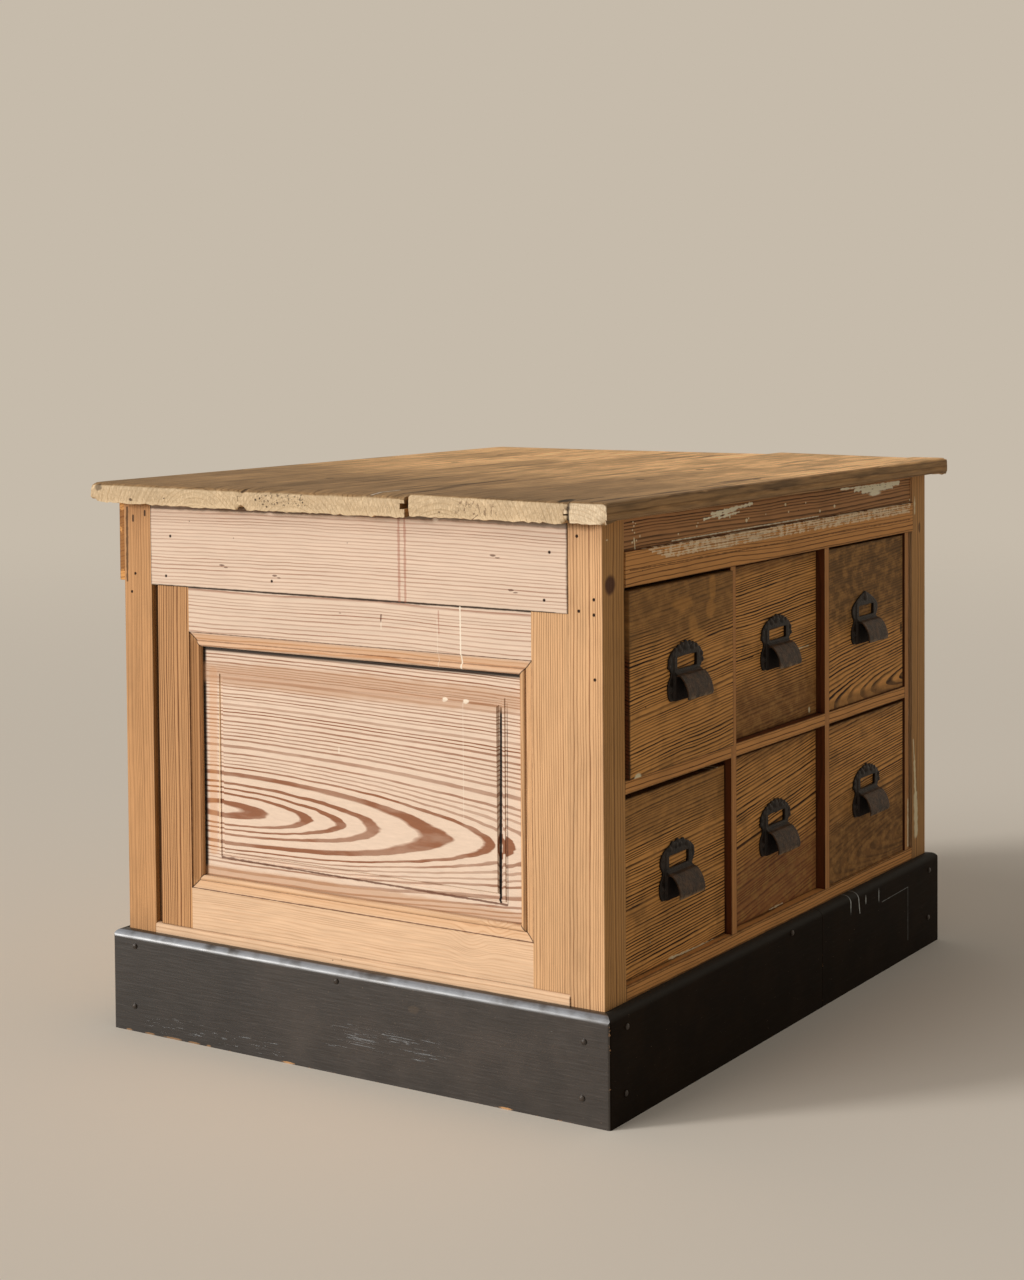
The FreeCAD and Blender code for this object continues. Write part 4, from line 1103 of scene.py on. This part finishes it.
def pull_plate(outline):
    """Thin plate cut to the outline, row by row."""
    rows = 42
    bpy.ops.mesh.primitive_grid_add(x_subdivisions=36, y_subdivisions=rows, size=1,
                                    location=(0, 0, pull_height / 2),
                                    rotation=(math.pi / 2, 0, 0))
    plate = start_piece("pull_plate", (2 * pull_half_width, 1, pull_height))
    step = pull_height / rows
    for row in range(rows + 1):
        height = row * step
        pick(plate, "VERT", lambda co: abs(co.z - height) < step / 4)
        share = width_at(outline, height) / pull_half_width
        bpy.ops.transform.resize(value=(share, 1, 1), center_override=(0, 0, height))
    pick(plate, "FACE", lambda centre, normal: True)
    bpy.ops.mesh.extrude_region_move(TRANSFORM_OT_translate={"value": (0, -plate_thickness, 0)})
    close_piece()
    return plate


def window_border():
    """Raised frame round the card window, with rounded corners."""
    width, height = window_size
    bpy.ops.mesh.primitive_plane_add(size=1, location=(0, -0.002, window_middle),
                                     rotation=(math.pi / 2, 0, 0))
    border = start_piece("window_border", (width + 0.018, 1, height + 0.014))
    bpy.ops.mesh.select_all(action="SELECT")
    bpy.ops.mesh.bevel(offset=0.005, segments=3, affect="VERTICES")
    bpy.ops.mesh.select_all(action="SELECT")
    bpy.ops.mesh.extrude_region_move(TRANSFORM_OT_translate={"value": (0, -0.0026, 0)})
    close_piece()
    put_modifier(border, "BEVEL", width=0.0012, segments=2)
    return border


def pull_hood():
    """Finger hood: a quarter of an oval drawn out sideways, sloping from under the window."""
    bpy.ops.mesh.primitive_circle_add(vertices=48, radius=1, fill_type="NOTHING",
                                      location=(-hood_half, 0, hood_bottom),
                                      rotation=(0, math.pi / 2, 0))
    hood = start_piece("pull_hood", (1, hood_out, hood_top - hood_bottom))
    pick(hood, "VERT", lambda co: co.y > 0.0001 or co.z < hood_bottom - 0.0001)
    bpy.ops.mesh.delete(type="VERT")
    pick(hood, "VERT", lambda co: hood_bottom + 0.004 < co.z < hood_top - 0.004)
    bpy.ops.transform.resize(value=(1, 1.05, 1.04), center_override=(0, 0, hood_bottom))
    bpy.ops.mesh.select_all(action="SELECT")
    bpy.ops.mesh.extrude_region_move(TRANSFORM_OT_translate={"value": (2 * hood_half, 0, 0)})
    close_piece()
    put_modifier(hood, "SOLIDIFY", thickness=0.0026, offset=-1)
    return hood


def pull_boss():
    """Raised middle of the lower plate, behind the hood."""
    bpy.ops.mesh.primitive_cube_add(size=1, location=(0, -boss_out / 2, hood_top / 2),
                                    scale=(2 * hood_half, boss_out, hood_top))
    boss = start_piece("pull_boss")
    pick(boss, "EDGE", lambda middle: middle.y < -boss_out * 0.9)
    bpy.ops.mesh.bevel(offset=0.0008, segments=2, affect="EDGES")
    close_piece()
    return boss


def lump(name, place, size):
    """Low rounded swelling of the casting, flattened at its back."""
    bpy.ops.mesh.primitive_uv_sphere_add(segments=16, ring_count=10, radius=1, location=place,
                                         scale=size)
    made = start_piece(name)
    pick(made, "VERT", lambda co: co.y > -0.0005)
    bpy.ops.transform.resize(value=(1, 0.3, 1), center_override=(0, -0.0005, 0))
    close_piece()
    return made


def make_pull(name, outline, lobes, leaf):
    """One cast pull: its plain parts and swellings melted together, then the window cut through."""
    parts = [pull_plate(outline), window_border(), pull_hood(), pull_boss()]
    swellings = [("lobe", x, -0.0018, z, (radius, 0.0026, radius)) for x, z, radius in lobes]
    swellings += [("leaf", x, -0.0028, z, (wide, 0.003, tall)) for x, z, wide, tall in leaf]
    swellings.append(("screw_head", 0.046, -0.0035, 0.018, (0.0045, 0.0028, 0.0045)))
    for kind, x, y, z, size in swellings:
        for side in ((-1, 1) if x else (1,)):
            parts.append(lump(kind, (side * x, y, z), size))
    pull = join(parts)
    pull.name = name
    put_modifier(pull, "REMESH", mode="VOXEL", voxel_size=0.0011)
    bpy.ops.mesh.primitive_cube_add(size=1, location=(0, -0.004, window_middle),
                                    scale=(window_size[0], 0.03, window_size[1]))
    cutter = start_piece("window_cutter")
    pick(cutter, "EDGE", lambda middle: abs(middle.y + 0.004) < 0.001)
    bpy.ops.mesh.bevel(offset=0.0025, segments=3, affect="EDGES")
    close_piece()
    put_modifier(pull, "BOOLEAN", operation="DIFFERENCE", object=cutter, solver="EXACT")
    bpy.data.objects.remove(cutter)
    only(pull)
    bpy.ops.object.mode_set(mode="EDIT")
    bpy.ops.mesh.select_all(action="SELECT")
    bpy.ops.mesh.vertices_smooth(factor=0.5, repeat=1)
    bpy.ops.object.mode_set(mode="OBJECT")
    bpy.ops.object.shade_smooth()
    return pull


# Worn plank ends. The cuts are counted in from each end, and a band takes in the cuts before it.
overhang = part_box("left_frieze")[0].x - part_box("top_plank_back")[0].x - 0.001
end_cuts = (0.007, 0.016, overhang)
height_cuts = (0.18, 0.4, 0.62, 0.84)
end_step = 0.0062
first_band, second_band = 0.0075, 0.0165
droop_bands = ((second_band, 0.6), (0.0105, 0.3), (0.005, 0.1))
on_top, on_skin = 0.0026, 0.001
arris_back, under_back, under_drop = 0.0024, 0.0014, 0.0022
rough_ends = bpy.data.textures.new("rough ends", "CLOUDS")
rough_ends.noise_scale = 0.011
rough_ends.noise_depth = 3


def cut_plank(low, high):
    """Cuts near both ends, along the plank and level, which leave vertices to bend."""
    cuts = [((end + step * inward, 0, 0), (1, 0, 0))
            for end, inward in ((low.x, 1), (high.x, -1)) for step in end_cuts]
    steps = int((high.y - low.y - 0.006) / end_step)
    cuts += [((0, low.y + 0.003 + end_step * count, 0), (0, 1, 0)) for count in range(steps + 1)]
    cuts += [((0, 0, low.z + share * (high.z - low.z)), (0, 0, 1)) for share in height_cuts]
    for point, normal in cuts:
        bpy.ops.mesh.select_all(action="SELECT")
        bpy.ops.mesh.bisect(plane_co=point, plane_no=normal)


def push(piece, test, shift):
    pick(piece, "VERT", test)
    bpy.ops.transform.translate(value=shift)


def roughen(piece, test, direction, strength, level):
    """Displace what passes the test by the rough ends' clouds."""
    pick(piece, "VERT", test)
    bpy.ops.object.vertex_group_add()
    bpy.ops.object.vertex_group_assign()
    bpy.ops.object.mode_set(mode="OBJECT")
    put_modifier(piece, "DISPLACE", texture=rough_ends, texture_coords="LOCAL",
                 direction=direction, strength=strength, mid_level=level,
                 vertex_group=piece.vertex_groups.active.name)


def wear_plank(node, wear, droop, joints=()):
    """Weather both ends of a plank, in place of its CAD mesh.

    The upper edge is worn down by wear and set back, the underside hangs fuller and ragged, and
    corners are broken at the joints. The ends droop by the first of droop at the plank's back
    edge and by the second at its front edge.
    """
    low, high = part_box(node)
    piece = bpy.data.objects.new(node + "_worn", nodes[node].data.copy())
    bpy.context.collection.objects.link(piece)
    piece.data.transform(nodes[node].matrix_world)
    only(piece)
    bpy.ops.object.mode_set(mode="EDIT")
    bpy.ops.mesh.select_all(action="SELECT")
    bpy.ops.mesh.remove_doubles(threshold=0.00001)
    bpy.ops.mesh.dissolve_limited(angle_limit=0.01)
    cut_plank(low, high)
    for end, inward in ((low.x, 1), (high.x, -1)):
        def at_end(place, reach):
            return abs(place.x - end) < reach
        push(piece, lambda v: at_end(v, on_skin) and v.z > high.z - on_top,
             (arris_back * inward, 0, -wear))
        push(piece, lambda v: at_end(v, first_band) and v.z > high.z - on_top, (0, 0, -0.2 * wear))
        push(piece, lambda v: at_end(v, on_skin) and v.z < low.z + on_skin,
             (under_back * inward, 0, 0))
        push(piece, lambda v: at_end(v, second_band) and v.z < low.z + on_skin,
             (0, 0, -under_drop))
        for y in joints:
            push(piece, lambda v: at_end(v, first_band) and abs(v.y - y) < 0.0046
                 and v.z > high.z - 0.006, (0.003 * inward, 0, -0.0012))
            push(piece, lambda v: at_end(v, first_band) and abs(v.y - y) < 0.0075
                 and v.z < low.z + 0.003, (0.005 * inward, 0, 0.0034))
        for reach, share in droop_bands:
            push(piece, lambda v: at_end(v, reach), (0, 0, -droop[0] * share))
            bpy.ops.transform.rotate(value=(droop[0] - droop[1]) * share / (high.y - low.y),
                                     orient_axis="X", center_override=(end, high.y, low.z))
        roughen(piece, lambda v: at_end(v, 0.004), "X", 0.0042 * inward, 0.0)
        roughen(piece, lambda v: at_end(v, second_band) and v.z < low.z, "Z", -0.006, 0.35)
    only(piece)
    bpy.ops.object.mode_set(mode="EDIT")
    close_piece()
    bpy.ops.object.shade_smooth_by_angle(angle=math.radians(38))
    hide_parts(node)
    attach(piece, "carcass")


def wear_planks():
    wear_plank("top_plank_back", 0.0022, (0.0006, 0.0028), joints=(back_joint, top_back))
    wear_plank("top_plank_middle", 0.0022, (0.0029, 0.0032), joints=(back_joint,))
    wear_plank("top_plank_front", 0.0006, (0.0, 0.002), joints=(front_joint,))
    wear_plank("top_nosing", 0.0016, (0.0, 0.0))


def hang_pulls():
    scalloped = make_pull("scalloped_pull", plate_outline, scallops,
                          ((0.0, 0.0735, 0.009, 0.005), (0.018, 0.071, 0.006, 0.004)))
    plain = make_pull("plain_pull", plain_outline, ((0.0, 0.081, 0.005),),
                      ((0.0, 0.0745, 0.007, 0.005),))
    curled = make_pull("curled_pull", plate_outline, curls,
                       ((0.006, 0.074, 0.005, 0.004), (0.026, 0.0715, 0.007, 0.004)))
    patterns = (scalloped, scalloped, plain, curled, scalloped, scalloped)
    for number, pattern in enumerate(patterns, 1):
        node = "drawer_%d_pull" % number
        low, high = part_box(node)
        foot = ((low.x + high.x) / 2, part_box("drawer_%d_front" % number)[0].y, low.z)
        piece = copy_to(pattern, "drawer_%d_cast_pull" % number, foot)
        material, r, place = start_material(node + "_iron")
        metal = r.use(iron, {"Place": place, "Foot": foot, "Seed": float(number)}).outputs
        finish_material(r, metal["Color"], metal["Roughness"], metal["Height"], 0.0011, 0.25)
        piece.data.materials.append(material)
        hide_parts(node)
        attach(piece, "drawer_%d" % number)
    for pattern in (scalloped, plain, curled):
        bpy.data.objects.remove(pattern)


# Painted nail heads of the plinth: (plinth board, place along it, height)
nail_radius = 0.0042
nail_paint = linear(44, 36, 30)
plinth_nails = [("plinth_left", 0.4055, 0.135), ("plinth_left", 0.4075, 0.040),
                ("plinth_left", 0.0125, 0.138), ("plinth_left", -0.412, 0.117),
                ("plinth_left", -0.4085, 0.038), ("plinth_front_left", -0.533, 0.133),
                ("plinth_front_left", -0.537, 0.041), ("plinth_front_left", -0.015, 0.1455),
                ("plinth_front_right", 0.536, 0.133), ("plinth_front_right", 0.531, 0.050)]


def nail_plinth():
    bpy.ops.mesh.primitive_cylinder_add(vertices=20, radius=nail_radius, depth=0.0016,
                                        location=(0, -0.0006, 0), rotation=(math.pi / 2, 0, 0))
    nail = start_piece("nail_head")
    for rise in (0.0007, 0.0004, 0.0002):
        pick(nail, "FACE", lambda centre, normal: normal.y < -0.9)
        bpy.ops.mesh.inset(thickness=nail_radius * 0.2)
        bpy.ops.transform.translate(value=(0, -rise, 0))
    close_piece()
    bpy.ops.object.shade_smooth_by_angle(angle=math.radians(50))
    boards = {}
    for board_name, along, height in plinth_nails:
        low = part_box(board_name)[0]
        if board_name == "plinth_left":
            head = copy_to(nail, "nail", (0, 0, 0))
            bpy.ops.transform.rotate(value=math.pi / 2, orient_axis="Z", center_override=(0, 0, 0))
            bpy.ops.transform.translate(value=(low.x, along, height))
        else:
            head = copy_to(nail, "nail", (along, low.y, height))
        bpy.ops.object.transform_apply(location=True, rotation=True, scale=True)
        boards.setdefault(board_name, []).append(head)
    for board_name, heads in boards.items():
        piece = join(heads)
        piece.name = board_name + "_nails"
        material, r, place = start_material(piece.name + "_paint")
        coat = r.use(paint_coat, {"Place": place, "Edge": 1.0, "Chips": 0.0,
                                  "Paint": nail_paint}).outputs
        finish_material(r, coat["Color"], coat["Roughness"], coat["Height"], 0.0003, 0.5)
        piece.data.materials.append(material)
        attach(piece, "carcass")
    bpy.data.objects.remove(nail)


floor_pale = linear(236, 228, 216)
room_tan = linear(198, 187, 171)
fill_tint, fill_strength = (1, 0.93, 0.84, 1), 0.3


def floor_and_room():
    """Pale floor that fades out with distance, and a room that only the camera and gloss see."""
    bpy.ops.mesh.primitive_circle_add(vertices=64, radius=40, fill_type="NGON", location=(0, 0, 0))
    floor = bpy.context.object
    floor.name = "floor"
    material, r, place = start_material("floor_pale")
    ground = r.node("ShaderNodeBsdfDiffuse", {"Color": floor_pale})
    far = r.fade(r.vector("LENGTH", place), 2.5, 9.0)
    clear = r.node("ShaderNodeBsdfTransparent")
    both = r.node("ShaderNodeMixShader", {0: far, 1: ground.outputs[0], 2: clear.outputs[0]})
    r.node("ShaderNodeOutputMaterial", {"Surface": both.outputs[0]})
    floor.data.materials.append(material)
    world = bpy.data.worlds.new("room")
    world.use_nodes = True
    world.node_tree.nodes.clear()
    r = Recipe(world.node_tree)
    rays = r.node("ShaderNodeLightPath").outputs
    seen = r.math("MAXIMUM", rays["Is Camera Ray"],
                  r.math("MAXIMUM", rays["Is Glossy Ray"], rays["Is Transmission Ray"]))
    wall = r.node("ShaderNodeBackground", {"Color": room_tan, "Strength": 1.0})
    fill = r.node("ShaderNodeBackground", {"Color": fill_tint, "Strength": fill_strength})
    both = r.node("ShaderNodeMixShader", {0: seen, 1: fill.outputs[0], 2: wall.outputs[0]})
    r.node("ShaderNodeOutputWorld", {"Surface": both.outputs[0]})
    bpy.context.scene.world = world


bpy.ops.object.select_all(action="DESELECT")
hang_pulls()
nail_plinth()
wear_planks()
bpy.ops.object.select_all(action="DESELECT")
floor_and_room()
place_camera()
sun("key", (-1.0, 0.9, 0.26), 2.5, 12, sun_tint)
sun("upper", (-1.0, 0.6, 0.9), 0.8, 40, sun_tint)
bpy.context.scene.view_settings.view_transform = "Standard"
